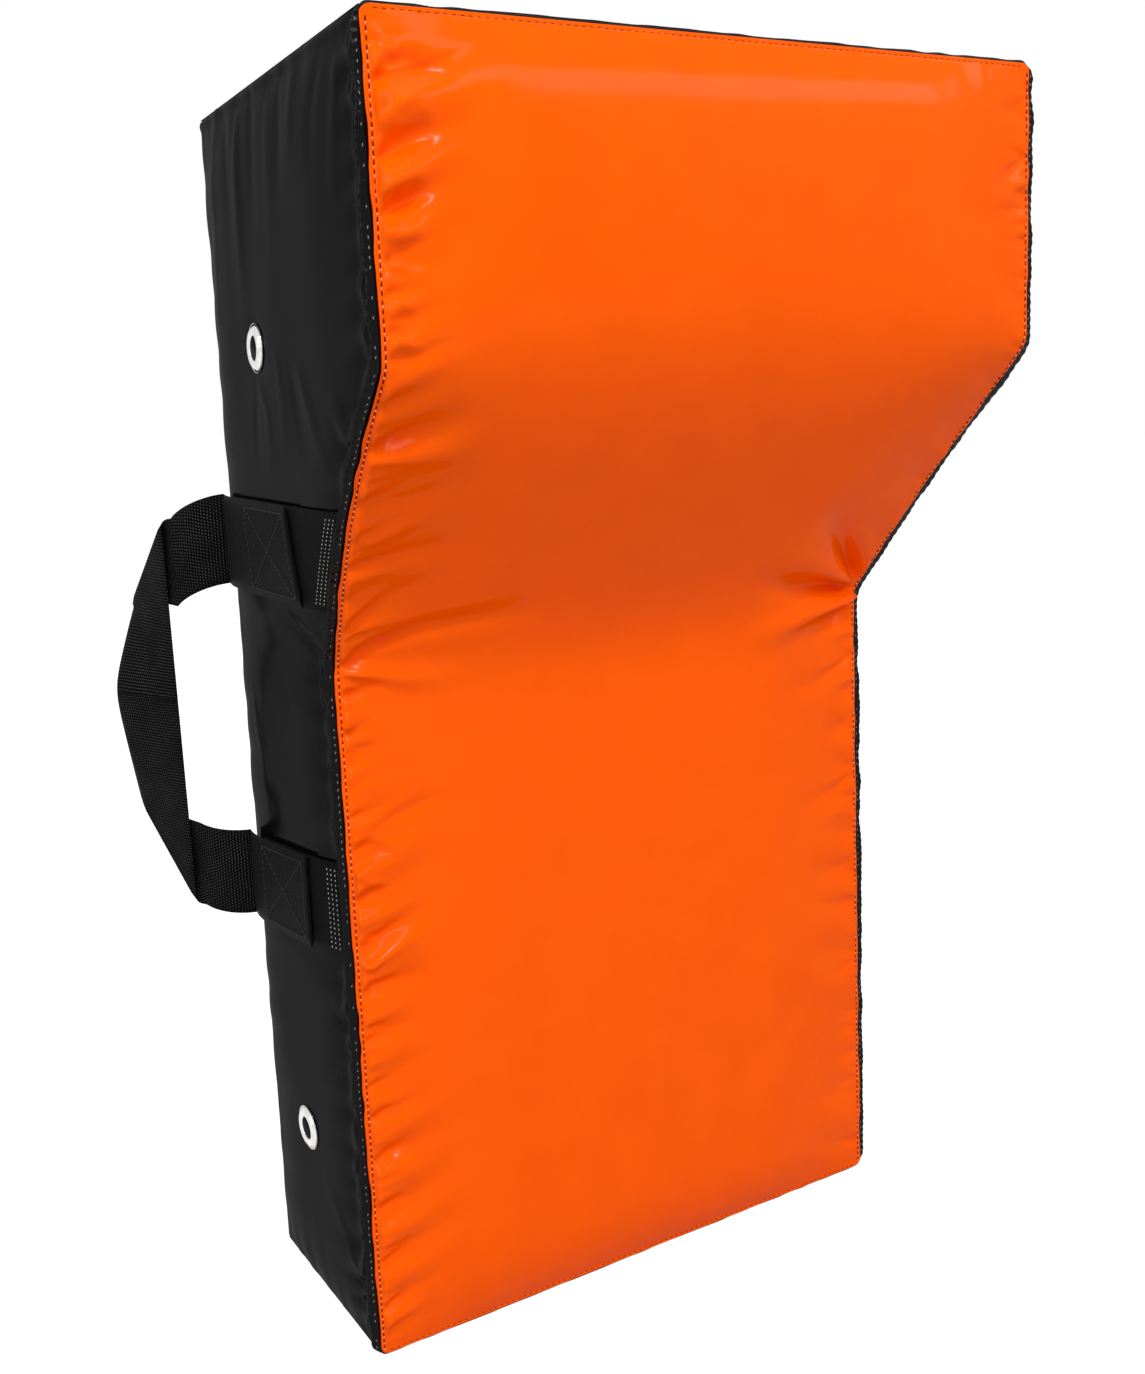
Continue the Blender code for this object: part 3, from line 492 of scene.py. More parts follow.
def top_height(x, y):
    crown = TOP_CROWN * roll(end_half_width(y, TOP) - abs(x), TOP_ROLL)
    return TOP + crown * roll(REAR - y, TOP_ROLL) * roll(y - seam_y(TOP), TOP_ROLL)


def bottom_height(x, y):
    fall = ramp(end_half_width(y, BOTTOM) - abs(x), 0, BASE_CHAMFER) * ramp(REAR - y, 0, BASE_CHAMFER)
    return BOTTOM - BASE_CROWN * fall * ramp(y - seam_y(BOTTOM), 0, BASE_CHAMFER)


def grid_normals(points):
    """Normals of a grid of points, and zero where points coincide."""
    normal = np.cross(np.gradient(points, axis=1), np.gradient(points, axis=0))
    length = np.linalg.norm(normal, axis=-1, keepdims=True)
    return normal / np.where(length > 0, length, 1)


def crossed(down, across):
    """Two grids with the first values down their rows and the second across their columns."""
    return np.meshgrid(down, across, indexing="ij")


def closing(length, fine, coarse, growth=1.06, first=(), band=0.024):
    """Distances from an edge, up to the length: fine steps within the band, which grow beyond it."""
    places, step = list(first) or [0.0], fine
    while places[-1] < length:
        places.append(places[-1] + step)
        if places[-1] > band:
            step = min(step * growth, coarse)
    return np.array(places) * length / places[-1]


def both_ways(length, fine, coarse, first=()):
    """Distances over the whole length, close together at both ends."""
    half = closing(length / 2, fine, coarse, first=first)
    return np.concatenate([half, length - half[-2::-1]])


# Meshes


def link(obj):
    bpy.context.scene.collection.objects.link(obj)
    return obj


def new_object(name, data, material):
    data.materials.append(material)
    data.shade_smooth()
    return link(bpy.data.objects.new(name, data))


def written(mesh, data):
    mesh.to_mesh(data)
    mesh.free()
    return data


def face_outwards(data):
    mesh = bmesh.new()
    mesh.from_mesh(data)
    bmesh.ops.recalc_face_normals(mesh, faces=mesh.faces)
    return written(mesh, data)


def mesh_data(name, points, faces):
    data = bpy.data.meshes.new(name)
    data.from_pydata([tuple(point) for point in points], [], faces)
    return data


def grid_object(name, points, uvs, material, flip=False, holes=()):
    """A sheet from a grid of points. Faces near a hole's middle are left out."""
    rows, columns = points.shape[:2]
    mesh = bmesh.new()
    bmesh.ops.create_grid(mesh, x_segments=columns - 1, y_segments=rows - 1, size=1)
    for vertex in mesh.verts:
        column = round((vertex.co.x + 1) / 2 * (columns - 1))
        row = round((vertex.co.y + 1) / 2 * (rows - 1))
        vertex.index = row * columns + column
        vertex.co = points[row, column]
    layer = mesh.loops.layers.uv.new("metres")
    flat = uvs.reshape(-1, 2)
    for face in mesh.faces:
        for loop in face.loops:
            loop[layer].uv = flat[loop.vert.index]
    for middle, radius in holes:
        gone = [face for face in mesh.faces if (face.calc_center_median() - middle).length < radius]
        bmesh.ops.delete(mesh, geom=gone, context="FACES")
    if flip:
        bmesh.ops.reverse_faces(mesh, faces=mesh.faces)
    return new_object(name, written(mesh, bpy.data.meshes.new(name)), material)


def tube_faces(rows, columns, closed_rows=False):
    """Faces of a grid whose columns close up into a ring."""
    faces = []
    for row in range(rows if closed_rows else rows - 1):
        for column in range(columns):
            a, b = row * columns + column, row * columns + (column + 1) % columns
            c = (row + 1) % rows * columns
            faces.append((a, b, c + (column + 1) % columns, c + column))
    return faces


def capped_faces(rows, columns, base=0):
    """Faces of a tube with a face at each end, from the vertex at the base."""
    faces = [tuple(base + index for index in face) for face in tube_faces(rows, columns)]
    faces.append(tuple(base + column for column in range(columns))[::-1])
    faces.append(tuple(base + (rows - 1) * columns + column for column in range(columns)))
    return faces


def ring_object(name, points, uvs, material):
    """A closed body from rings of points, with a face at each end."""
    data = mesh_data(name, points.reshape(-1, 3), capped_faces(*points.shape[:2]))
    layer = data.uv_layers.new(name="metres")
    index = np.zeros(len(data.loops), int)
    data.loops.foreach_get("vertex_index", index)
    layer.data.foreach_set("uv", uvs.reshape(-1, 2)[index].ravel())
    return new_object(name, face_outwards(data), material)


def ribbon_object(name, middle, uvs, material, squareness=14, thinnest=0.02):
    """Webbing from a grid of points down its middle, thinned to rounded selvedges."""
    normal = grid_normals(middle)
    across = np.linspace(-1, 1, middle.shape[1])
    share = np.sqrt(np.maximum(1 - np.abs(across) ** squareness, thinnest))
    half = WEB_THICKNESS / 2 * share[None, :, None]
    over = middle + normal * half
    under = (middle - normal * half)[:, ::-1]
    points = np.concatenate([over, under], axis=1)
    both = np.concatenate([uvs, uvs[:, ::-1]], axis=1)
    return ring_object(name, points, both, material)


def stitches(name, path, normals, material, style, seed, phase=0.5, kept=1.0):
    """Thread that shows as short dashes along a path. Kept is the share of the stitches that show."""
    length, gap, radius, sink, wander = style
    run = np.concatenate([[0], np.cumsum(np.linalg.norm(np.diff(path, axis=0), axis=1))])
    count = int(run[-1] / (length + gap))
    random = np.random.default_rng(seed)
    verts, faces = [], []

    def at_length(place, values):
        return np.array([np.interp(place, run, values[:, axis]) for axis in range(3)])

    for step in range(count):
        if random.uniform() > kept:
            continue
        centre = (step + phase) * run[-1] / count
        middle, up = at_length(centre, path), at_length(centre, normals)
        along = at_length(centre + length / 2, path) - at_length(centre - length / 2, path)
        along /= np.linalg.norm(along) + 1e-12
        up -= along * up.dot(along)
        up /= np.linalg.norm(up)
        across = np.cross(along, up)
        along = along + across * random.uniform(-1, 1) * wander
        faces += capped_faces(len(STITCH_PLACES), STITCH_SIDES, len(verts))
        for place in STITCH_PLACES:
            thick = radius * math.sqrt(max(1 - place ** 4, STITCH_TIP))
            lift = radius * (sink + STITCH_ARCH * (1 - place * place) - STITCH_ARCH)
            for corner in range(STITCH_SIDES):
                turn = 2 * math.pi * corner / STITCH_SIDES
                offset = across * math.cos(turn) * thick + up * (math.sin(turn) * thick + lift)
                verts.append(tuple(middle + along * place * length / 2 + offset))
    return new_object(name, face_outwards(mesh_data(name, verts, faces)), material)


# Materials


class Nodes:
    """Short names for building a node tree."""

    def __init__(self, name):
        self.material = bpy.data.materials.new(name)
        self.material.use_nodes = True
        self.tree = self.material.node_tree
        self.shader = self.tree.nodes["Principled BSDF"]

    def add(self, kind, links=(), **values):
        node = self.tree.nodes.new(kind)
        for key, value in values.items():
            setattr(node, key, value)
        for socket, source in links:
            if hasattr(source, "links") or hasattr(source, "is_linked"):
                self.tree.links.new(source, node.inputs[socket])
            else:
                node.inputs[socket].default_value = source
        return node

    def place(self):
        return self.add("ShaderNodeTexCoord").outputs["Object"]

    def noise(self, scale, detail=2.0, rough=0.5, vector=None, distortion=0.0):
        links = [("Vector", vector or self.place()), ("Scale", scale), ("Detail", detail)]
        links += [("Roughness", rough), ("Distortion", distortion)]
        return self.add("ShaderNodeTexNoise", links).outputs["Fac"]

    def math(self, operation, a, b=0.0):
        return self.add("ShaderNodeMath", [(0, a), (1, b)], operation=operation).outputs[0]

    def wave(self, angle):
        """From 0 to 1 and back once in a turn."""
        return self.math("MULTIPLY", self.math("ADD", self.math("SINE", angle), 1.0), 0.5)

    def spread(self, value, low, high, start=0.3, end=0.7):
        links = [("Value", value), ("From Min", start), ("From Max", end), ("To Min", low), ("To Max", high)]
        return self.add("ShaderNodeMapRange", links).outputs["Result"]

    def colours(self, factor, first, second):
        node = self.add("ShaderNodeMix", data_type="RGBA")
        self.tree.links.new(factor, node.inputs["Factor"])
        node.inputs[6].default_value = (*first, 1)
        node.inputs[7].default_value = (*second, 1)
        return node.outputs[2]

    def bump(self, height, distance, strength=1.0, normal=None):
        links = [("Height", height), ("Distance", distance), ("Strength", strength)]
        node = self.add("ShaderNodeBump", links)
        if normal:
            self.tree.links.new(normal, node.inputs["Normal"])
        return node.outputs["Normal"]

    def set(self, **sockets):
        for name, source in sockets.items():
            socket = self.shader.inputs[name.replace("_", " ")]
            if hasattr(source, "is_linked"):
                self.tree.links.new(source, socket)
            else:
                socket.default_value = source
        return self.material


def pvc(name, first, second, rough, grain, coat):
    """Coated fabric: a smooth skin with faint mottling, a trace of the cloth below and small scuffs."""
    n = Nodes(name)
    cloth = n.noise(38.0, 3.0, 0.55)
    skin = n.noise(900.0, 2.0, 0.6)
    scuff = n.noise(260.0, 4.0, 0.65, distortion=0.6)
    soft = n.bump(n.noise(90.0, 2.0, 0.5), 0.0010, 0.18)
    fine = n.bump(skin, grain, 0.5, soft)
    return n.set(
        Base_Color=n.colours(n.spread(cloth, 0.0, 1.0), first, second),
        Roughness=n.spread(scuff, rough + 0.2, rough + 0.3),
        Normal=fine,
        Specular_IOR_Level=0.0,
        Coat_Weight=coat,
        Coat_Roughness=rough,
    )


def webbing(name, rib, groove, base, light, depth, wander=0.0):
    """Woven webbing: ribs across it, broken into picks, from its own lengths in metres. Its colour is lighter
    on the raised weave and darker in the grooves, which is painted highlight and painted shade.
    """
    n = Nodes(name)
    uv = n.add("ShaderNodeTexCoord").outputs["UV"]
    parts = n.add("ShaderNodeSeparateXYZ", [(0, uv)])
    across, along = parts.outputs[0], parts.outputs[1]
    drift = n.noise(70.0, 2.0, 0.5, vector=uv)
    drift = n.math("MULTIPLY", n.math("SUBTRACT", drift, 0.5), 0.0012 + wander)
    row = n.math("MULTIPLY", n.math("ADD", along, drift), 2 * math.pi / rib)
    ribs = n.wave(row)
    column = n.math("MULTIPLY", n.math("ADD", across, drift), 2 * math.pi / groove)
    picks = n.wave(n.math("ADD", column, n.math("MULTIPLY", row, 0.5)))
    fuzz = n.noise(2400.0, 2.0, 0.6, vector=uv)
    weave = n.math("MULTIPLY", ribs, n.math("ADD", n.math("MULTIPLY", picks, 0.75), 0.25))
    height = n.math("ADD", weave, n.math("MULTIPLY", fuzz, 0.30))
    worn = n.spread(n.noise(45.0, 2.0, 0.5, vector=uv), 0.55, 1.0, 0.35, 0.65)
    # Painted shade in the weave's grooves and painted highlight on its raised ribs, times a random worn tone
    rib_shade_and_wear = n.math("MULTIPLY", n.spread(height, 0.0, 1.0, 0.45, 1.15), worn)
    return n.set(
        Base_Color=n.colours(rib_shade_and_wear, base, light),
        Roughness=n.spread(fuzz, 0.42, 0.66),
        Normal=n.bump(height, depth, 1.0),
        IOR=1.06,
    )


def thread(name, first, second, rough):
    n = Nodes(name)
    strand = n.noise(1800.0, 2.0, 0.6)
    return n.set(
        Base_Color=n.colours(n.spread(strand, 0.0, 1.0), first, second),
        Roughness=rough,
        Normal=n.bump(strand, 0.00012, 0.6),
        IOR=1.12,
    )


def nickel(name):
    n = Nodes(name)
    haze = n.noise(420.0, 3.0, 0.6)
    marks = n.noise(1500.0, 2.0, 0.5)
    return n.set(
        Base_Color=n.colours(n.spread(haze, 0.0, 1.0), (0.78, 0.77, 0.75), (0.66, 0.65, 0.63)),
        Metallic=1.0,
        Roughness=n.spread(haze, 0.12, 0.26),
        Normal=n.bump(marks, 0.00006, 0.4),
    )


def foam(name):
    n = Nodes(name)
    cells = n.noise(700.0, 3.0, 0.7)
    return n.set(
        Base_Color=n.colours(n.spread(cells, 0.0, 1.0), (0.62, 0.60, 0.52), (0.50, 0.48, 0.41)),
        Roughness=0.95,
        Normal=n.bump(cells, 0.0008, 0.7),
    )


ORANGE = pvc("orange_pvc", (1.0, 0.108, 0.0), (0.97, 0.100, 0.0), 0.15, 0.00003, 0.105)
BLACK = pvc("black_pvc", (0.0020, 0.0020, 0.0023), (0.0034, 0.0034, 0.0038), 0.15, 0.00003, 0.095)
EDGE_BLACK = pvc("black_pvc_edge", (0.0016, 0.0016, 0.0019), (0.003, 0.003, 0.0034), 0.12, 0.00004, 0.20)
# The second colour of each webbing is its painted highlight on the raised weave
WEB = webbing("webbing", 0.0017, 0.0018, (0.0022, 0.0022, 0.0025), (0.085, 0.085, 0.090), 0.00075)
# The tabs' webbing: smoother than the grip's, and a lighter grey for how the light falls on the tabs, which
# is painted light
LIT_TAB_WEBBING = webbing("webbing_tab_lit", 0.0021, 0.0016, (0.0060, 0.0060, 0.0065), (0.020, 0.020, 0.022), 0.00020, 0.0020)
TWILL = webbing("webbing_twill", 0.0010, 0.0010, (0.0030, 0.0030, 0.0034), (0.021, 0.021, 0.023), 0.00030)
RED_THREAD = thread("dark_red_thread", (0.15, 0.007, 0.001), (0.09, 0.004, 0.001), 0.55)
# Pale orange dots between the dark red stitches: painted glints on the thread
GLINT_THREAD = thread("pale_glint_paint", (1.0, 0.50, 0.32), (0.95, 0.36, 0.18), 0.45)
PALE_THREAD = thread("pale_thread", (0.62, 0.58, 0.54), (0.45, 0.42, 0.40), 0.6)
# Grey for the welt's black stitches: painted glints
WELT_GLINT_THREAD = thread("grey_welt_glint", (0.20, 0.20, 0.21), (0.30, 0.30, 0.31), 0.5)
# Black thread, also used for the painted shade inside the eyelets
BLACK_THREAD_AND_SHADE = thread("black_thread_and_hole_shade", (0.040, 0.040, 0.043), (0.018, 0.018, 0.020), 0.42)
NICKEL = nickel("nickel")
FOAM = foam("foam")


def keep(piece, body, slot, *nodes):
    """Rides on its body and stands for the named solids. The slot is not used."""
    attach(piece, body)
    if nodes:
        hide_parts(*nodes)


# Front cover


def edge_wave(z, side):
    """How unevenly the cut edge runs."""
    return 0.0005 * noise(z, z * 0 + side, 0.008, 5) + 0.0004 * noise(z, z * 0 + side, 0.030, 6)


def front_relief(x, z):
    """How far the puckers and folds stand out of the front's plain surface."""
    relief = np.zeros(x.shape)
    inside = half_width(z) - STITCH_IN - np.abs(x)
    top_in, bottom_in = TOP - STITCH_IN - z, z - BOTTOM - STITCH_IN
    ends = ramp(top_in, 0.004, 0.020) * ramp(bottom_in, 0.003, 0.015)
    fine = fine_valleys(*HEIGHT_SPAN, 0.0085, 21)
    for side, valleys, strength, large, small in FRONT_SEAMS:
        near = np.where(side * x > 0, inside - BULGE_START, FAR)
        bulges = puckers(z, near, valleys, table_at(z, strength) * large, *LARGE_BULGE)
        ripples = puckers(z + side * 0.003, near, fine, small, *SMALL_BULGE)
        relief += (bulges + ripples) * ends
    sides = ramp(inside, 0.004, 0.020)
    for distance, seed, amount in ((top_in, 31, 0.55), (bottom_in, 32, 0.5)):
        relief += even_puckers(x, distance, WIDTH_SPAN, 0.019, seed, amount * sides, 0.055, 0.10, 0.8)
        relief += even_puckers(x, distance, WIDTH_SPAN, 0.0075, seed + 5, amount * sides, 0.06, 0.05, 1.2)
    edge_in = np.minimum(np.minimum(inside - BULGE_START, top_in), bottom_in)
    drawn = FRONT_FOLD_SCALE * folds(x, z, FRONT_FOLDS)
    relief += drawn * np.where(drawn < 0, ramp(edge_in, 0, GROOVE_FADE), ramp(edge_in, 0, FOLD_FADE))
    middle = ramp(np.minimum(np.minimum(inside, top_in), bottom_in), 0.004, 0.05)
    relief += middle * (0.0010 * noise(x, z, 0.085, 7) + 0.0004 * noise(x, z, 0.040, 8))
    return relief


def make_front_cover():
    # The outer two rows start at the same place, and then the outermost is tucked in behind the other
    heights = both_ways(TOP - BOTTOM, 0.0011, 0.0016, first=(0.0, 0.0, 0.0005))
    inward = both_ways(1.0, 0.003, 0.012, first=(0.0, 0.0, 0.0020))
    z, t = crossed(BOTTOM + heights, inward * 2 - 1)
    corner = 1 - ramp(np.minimum(TOP - z, z - BOTTOM), 0, CORNER)
    x = t * (half_width(z) + edge_wave(z, np.sign(t)) - CORNER * (1 - np.sqrt(1 - corner ** 2)))
    points = np.stack([x, front_y(np.clip(x, -half_width(z), half_width(z)), z), z], axis=-1)
    points += grid_normals(points) * front_relief(x, z)[..., None]
    tucked = np.zeros(x.shape)
    tucked[:, 0] = tucked[:, -1] = tucked[0] = tucked[-1] = TUCK
    points[..., 1] += tucked
    depths = front_y(0 * heights, BOTTOM + heights)
    run = np.concatenate([[0], np.cumsum(np.hypot(np.diff(heights), np.diff(depths)))])
    uvs = np.stack([x, np.broadcast_to(run[:, None], x.shape)], axis=-1)
    cover = grid_object("front_cover", points, uvs, ORANGE)
    keep(cover, "shield", "orange_pvc", "front_panel")


def same_normal(path, normal):
    return np.repeat(np.array([normal], float), len(path), axis=0)


def seam_path(side, inset, start, end):
    """Points down a side seam of the front, with what points out of the front there."""
    z = np.arange(start, end, PATH_STEP)
    path = np.stack([side * (half_width(z) - inset), seam_y(z), z], axis=-1)
    tangent = np.gradient(path, axis=0)
    normal = np.cross(np.array([1.0, 0, 0]), tangent)
    return path, normal / np.linalg.norm(normal, axis=1, keepdims=True)


def end_path(seam, inset, clear=0.004):
    """Points along the front's top or bottom seam, which stay clear of its ends."""
    x = np.arange(-half_width(seam) + clear, half_width(seam) - clear, PATH_STEP)
    z = seam + (inset if seam == BOTTOM else -inset) + 0 * x
    path = np.stack([x, seam_y(z), z], axis=-1)
    return path, same_normal(path, (0, -1, 0))


def make_front_stitches():
    for number, (name, side) in enumerate(SIDES):
        path, out = seam_path(side, STITCH_IN, BOTTOM + 0.003, TOP - 0.003)
        back = path - out * (WELT_BACK + 0.0002)
        back[:, 0] = side * (half_width(path[:, 2]) + 0.0021)
        face = back + out * (WELT_BACK - WELT_FACE + 0.0003)
        for row, places, normal, material, style, phase, kept, slot in (
            ("front_stitches", path, out, RED_THREAD, FRONT_STITCH, 0.5, 1.0, "orange_pvc"),
            ("painted_glint_dots", path, out, GLINT_THREAD, GLINT_DOT, 0.05, 0.85, "orange_pvc"),
            ("welt_stitch_glints", face, out, WELT_GLINT_THREAD, WELT_GLINT_STITCH, 0.5, 0.7, "black_pvc"),
            ("welt_back_stitches", back, -out, BLACK_THREAD_AND_SHADE, WELT_BACK_STITCH, 0.5, 1.0, "black_pvc"),
        ):
            dashes = stitches(f"{name}_{row}", places, normal, material, style, number, phase, kept)
            keep(dashes, "shield", slot)
    for name, seam in (("top", TOP), ("bottom", BOTTOM)):
        path, normal = end_path(seam, STITCH_IN)
        dashes = stitches(f"{name}_front_stitches", path, normal, RED_THREAD, END_STITCH, 9)
        keep(dashes, "shield", "orange_pvc")


# Welts


def make_welt(name, rings):
    """A welt from its rings of points, which lie one after the other round its section."""
    points = np.stack(rings, axis=1)
    edge = ring_object(f"{name}_seam_edge", points, points[..., (0, 2)], EDGE_BLACK)
    keep(edge, "shield", "black_pvc", f"{name}_seam_welt")


def make_side_welt(name, side):
    z = np.arange(BOTTOM, TOP + 0.0001, 0.0007)
    wave = 0.0005 * noise(z, z * 0 + side, 0.008, 11) + 0.0004 * noise(z, z * 0, 0.021, 12)
    wave *= mix(1.0, 1.7, ease(z, 0.50, 0.56))
    stretch = np.sqrt(1 + np.gradient(seam_y(z), z) ** 2)
    corner = 1 - ramp(np.minimum(TOP - z, z - BOTTOM), 0, WELT_CORNER)
    inner = half_width(z) - LIP - 0.0005 - 0.0055 * corner
    pulled = ease(z, WAIST - 0.006, WAIST + 0.012) * (1 - ease(z, FOLD - 0.012, FOLD + 0.006))
    outer = half_width(z) + WELT_REACH + 0.0006 + 0.0016 * pulled * (side > 0) + wave
    outer -= WELT_CORNER * (1 - np.sqrt(1 - corner ** 2))
    curl = 0.0007 * noise(z, z * 0 + side, 0.011, 13) + 0.00022 * np.sin(2 * math.pi * z / 0.0042)
    rings = []
    for across, depth in SIDE_WELT_SECTION:
        y = seam_y(z) + (mix(WELT_FACE, WELT_BACK, depth) + curl * across ** 2) * stretch
        rings.append(np.stack([side * mix(inner, outer, across), y, z], axis=-1))
    make_welt(name, rings)


def make_end_welt(name, seam, side):
    x = np.linspace(-1, 1, 280) * (half_width(seam) - 0.0004)
    ends = 1 - ramp(half_width(seam) - np.abs(x), 0, 0.004)
    wave = 0.0003 * noise(x, x * 0, 0.009, 14) + 0.0002 * noise(x, x * 0, 0.03, 15)
    outer = 0.0015 + wave - 0.003 * (1 - np.sqrt(1 - ends ** 2))
    rings = []
    for across, depth in END_WELT_SECTION:
        z = seam + side * mix(-LIP, outer, across)
        y = seam_y(z * 0 + seam) + mix(WELT_FACE, WELT_BACK, depth)
        rings.append(np.stack([x, y, z], axis=-1))
    make_welt(name, rings)


# Side, rear and end covers


def eyelet_frame(side, setback, height):
    y = REAR - setback

    def surface(y, z):
        return Vector((side * float(side_reach(y, z)), y, z))

    along = surface(y + EYELET_RADIUS, height) - surface(y - EYELET_RADIUS, height)
    up = surface(y, height + EYELET_RADIUS) - surface(y, height - EYELET_RADIUS)
    normal = side * along.cross(up).normalized()
    forward = up.cross(normal).normalized()
    turn = Matrix((forward, normal.cross(forward), normal)).transposed().to_4x4()
    return Matrix.Translation(surface(y, height)) @ turn


def strap_cover(y, z):
    """1 where webbing or an eyelet lies on the side cover, fading out round it."""
    held = np.zeros(y.shape)
    for _, middle, climb, _ in STRAPS:
        height = middle + climb * (REAR - y) / SLAB_DEPTH
        near = 1 - ramp(np.abs(z - height), WEB_WIDTH / 2 + 0.001, WEB_WIDTH / 2 + 0.012)
        held = np.maximum(held, near)
    for _, height, setback in EYELETS:
        away = np.hypot(y - REAR + setback, z - height)
        held = np.maximum(held, 1 - ramp(away, EYELET_RADIUS, EYELET_RADIUS + 0.006))
    return held


def side_relief(y, z, side):
    """How far the side cover's puckers and folds stand out, and 0 where webbing or an eyelet holds it."""
    front, rear, top, bottom = y - seam_y(z), REAR - y, TOP - z, z - BOTTOM
    near_welt = front - WELT_CLEAR
    seed = 40 if side < 0 else 60
    relief = np.zeros(y.shape)
    ends = ramp(top, 0.0, 0.015) * ramp(bottom, 0.0, 0.012)
    relief += even_puckers(z, near_welt, HEIGHT_SPAN, 0.018, seed, 0.9, 0.15, -0.25, 0.8) * ends
    relief += even_puckers(z, near_welt, HEIGHT_SPAN, 0.008, seed + 1, 0.9, 0.12, 0.1, 1.1) * ends
    relief += 0.0009 * ridge(top, 0.0034, 0.0022) * ramp(front, 0.0, 0.015)
    rolled = 0.0065 + 0.0012 * noise(z, z * 0, 0.013, seed + 8)
    broken = 1 + 0.7 * noise(z, z * 0, 0.007, seed + 9)
    relief += 0.0011 * broken * ridge(front, rolled, 0.0036) * ends
    relief += even_puckers(z, rear, HEIGHT_SPAN, 0.028, seed + 2, 0.5, 0.055, 0.3, 0.8) * ends
    sides = ramp(front, 0.0, 0.015) * ramp(rear, 0.0, 0.012)
    relief += even_puckers(y, top, DEPTH_SPAN, 0.026, seed + 3, 0.7, 0.040, 0.1, 0.6) * sides
    relief += even_puckers(y, top, DEPTH_SPAN, 0.010, seed + 4, 0.7, 0.055, 0.1, 0.7) * sides
    relief += even_puckers(y, bottom, SLAB_SPAN, 0.020, seed + 5, 0.6, 0.060, 0.1, 1.0) * sides
    inner = ramp(np.minimum(np.minimum(front, rear), np.minimum(top, bottom)), 0.0, 0.012)
    relief += SIDE_FOLD_SCALE * folds(y, z, SIDE_FOLDS) * inner
    relief += inner * (0.0004 * noise(y, z * 0.45, 0.030, seed + 6) + 0.0006 * noise(y, z, 0.055, seed + 7))
    held = strap_cover(y, z)
    return relief * (1 - held) - 0.0002 * held


def make_side_cover(name, side):
    heights = both_ways(TOP - BOTTOM - 2 * EDGE_GAP, 0.0016, 0.0030)
    z, t = crossed(BOTTOM + EDGE_GAP + heights, both_ways(1.0, 0.007, 0.016))
    stretch = np.sqrt(1 + np.gradient(seam_y(z[:, 0]), z[:, 0]) ** 2)[:, None]
    y = mix(seam_y(z) + WELT_BACK * stretch, REAR - 0.0008, t)
    points = np.stack([side * side_reach(y, z), y, z], axis=-1)
    normal = grid_normals(points)
    normal *= np.sign(normal[..., :1]) * side
    points += normal * side_relief(y, z, side)[..., None]
    uvs = np.stack([y, z], axis=-1)
    holes = []
    for _, height, setback in EYELETS:
        holes.append((eyelet_frame(side, setback, height).translation, EYELET_HOLE))
    cover = grid_object(f"{name}_side_cover", points, uvs, BLACK, flip=side < 0, holes=holes)
    keep(cover, "shield", "black_pvc", f"{name}_side_panel")


def make_rear_cover():
    heights = both_ways(TOP - BOTTOM - 2 * EDGE_GAP, 0.0018, 0.0034)
    z, x = crossed(BOTTOM + EDGE_GAP + heights, (both_ways(1.0, 0.006, 0.016) * 2 - 1) * HALF_WIDTH)
    relief = np.zeros(x.shape)
    top, bottom, edge = TOP - z, z - BOTTOM, HALF_WIDTH - np.abs(x)
    ends = ramp(top, 0.0, 0.015) * ramp(bottom, 0.0, 0.012)
    for side, seed in ((-1, 81), (1, 84)):
        near = np.where(side * x > 0, edge, FAR)
        relief += even_puckers(z, near, HEIGHT_SPAN, 0.024, seed, 0.7, 0.075, 0.25, 0.9) * ends
        relief += even_puckers(z, near, HEIGHT_SPAN, 0.009, seed + 1, 0.5, 0.07, 0.1, 1.2) * ends
    sides = ramp(edge, 0.0, 0.015)
    relief += even_puckers(x, top, WIDTH_SPAN, 0.023, 87, 0.7, 0.07, 0.1, 1.0) * sides
    relief += even_puckers(x, bottom, WIDTH_SPAN, 0.021, 88, 0.6, 0.06, 0.1, 1.0) * sides
    inner = ramp(np.minimum(edge, np.minimum(top, bottom)), 0.0, 0.02)
    relief += inner * (0.0010 * noise(x, z * 0.6, 0.060, 89) + 0.0005 * noise(x, z, 0.030, 90))
    points = np.stack([x, REAR + rear_crown(x, z) + relief, z], axis=-1)
    cover = grid_object("rear_cover", points, points[..., (0, 2)], BLACK, flip=True)
    keep(cover, "shield", "black_pvc", "rear_panel")


def make_end_cover(name, seam, height_at, side, seed):
    deep = mix(seam_y(seam) + WELT_BACK, REAR, both_ways(1.0, 0.007, 0.014))
    y, t = crossed(deep, both_ways(1.0, 0.005, 0.012) * 2 - 1)
    width = end_half_width(y, seam)
    x = t * width
    front, rear, edge = y - seam_y(seam), REAR - y, width - np.abs(x)
    relief = even_puckers(x, front - WELT_CLEAR, WIDTH_SPAN, 0.020, seed, 0.7, 0.08, 0.1, 1.0)
    relief += even_puckers(x, rear, WIDTH_SPAN, 0.023, seed + 1, 0.6, 0.07, 0.1, 1.0)
    relief += even_puckers(y, edge, DEPTH_SPAN, 0.022, seed + 2, 0.7, 0.08, 0.1, 1.0)
    inner = ramp(np.minimum(edge, np.minimum(front, rear)), 0.0, 0.015)
    relief = (relief + 0.0008 * noise(x, y, 0.05, seed + 3)) * inner
    if side < 0:
        # The foot only dents inwards, because the shield stands on it
        relief = np.minimum(relief, 0.0) * 0.5
    points = np.stack([x, y, height_at(x, y) + side * relief], axis=-1)
    cover = grid_object(f"{name}_cover", points, points[..., (0, 1)], BLACK, flip=side < 0)
    keep(cover, "shield", "black_pvc", f"{name}_panel")


# Foam inside the cover


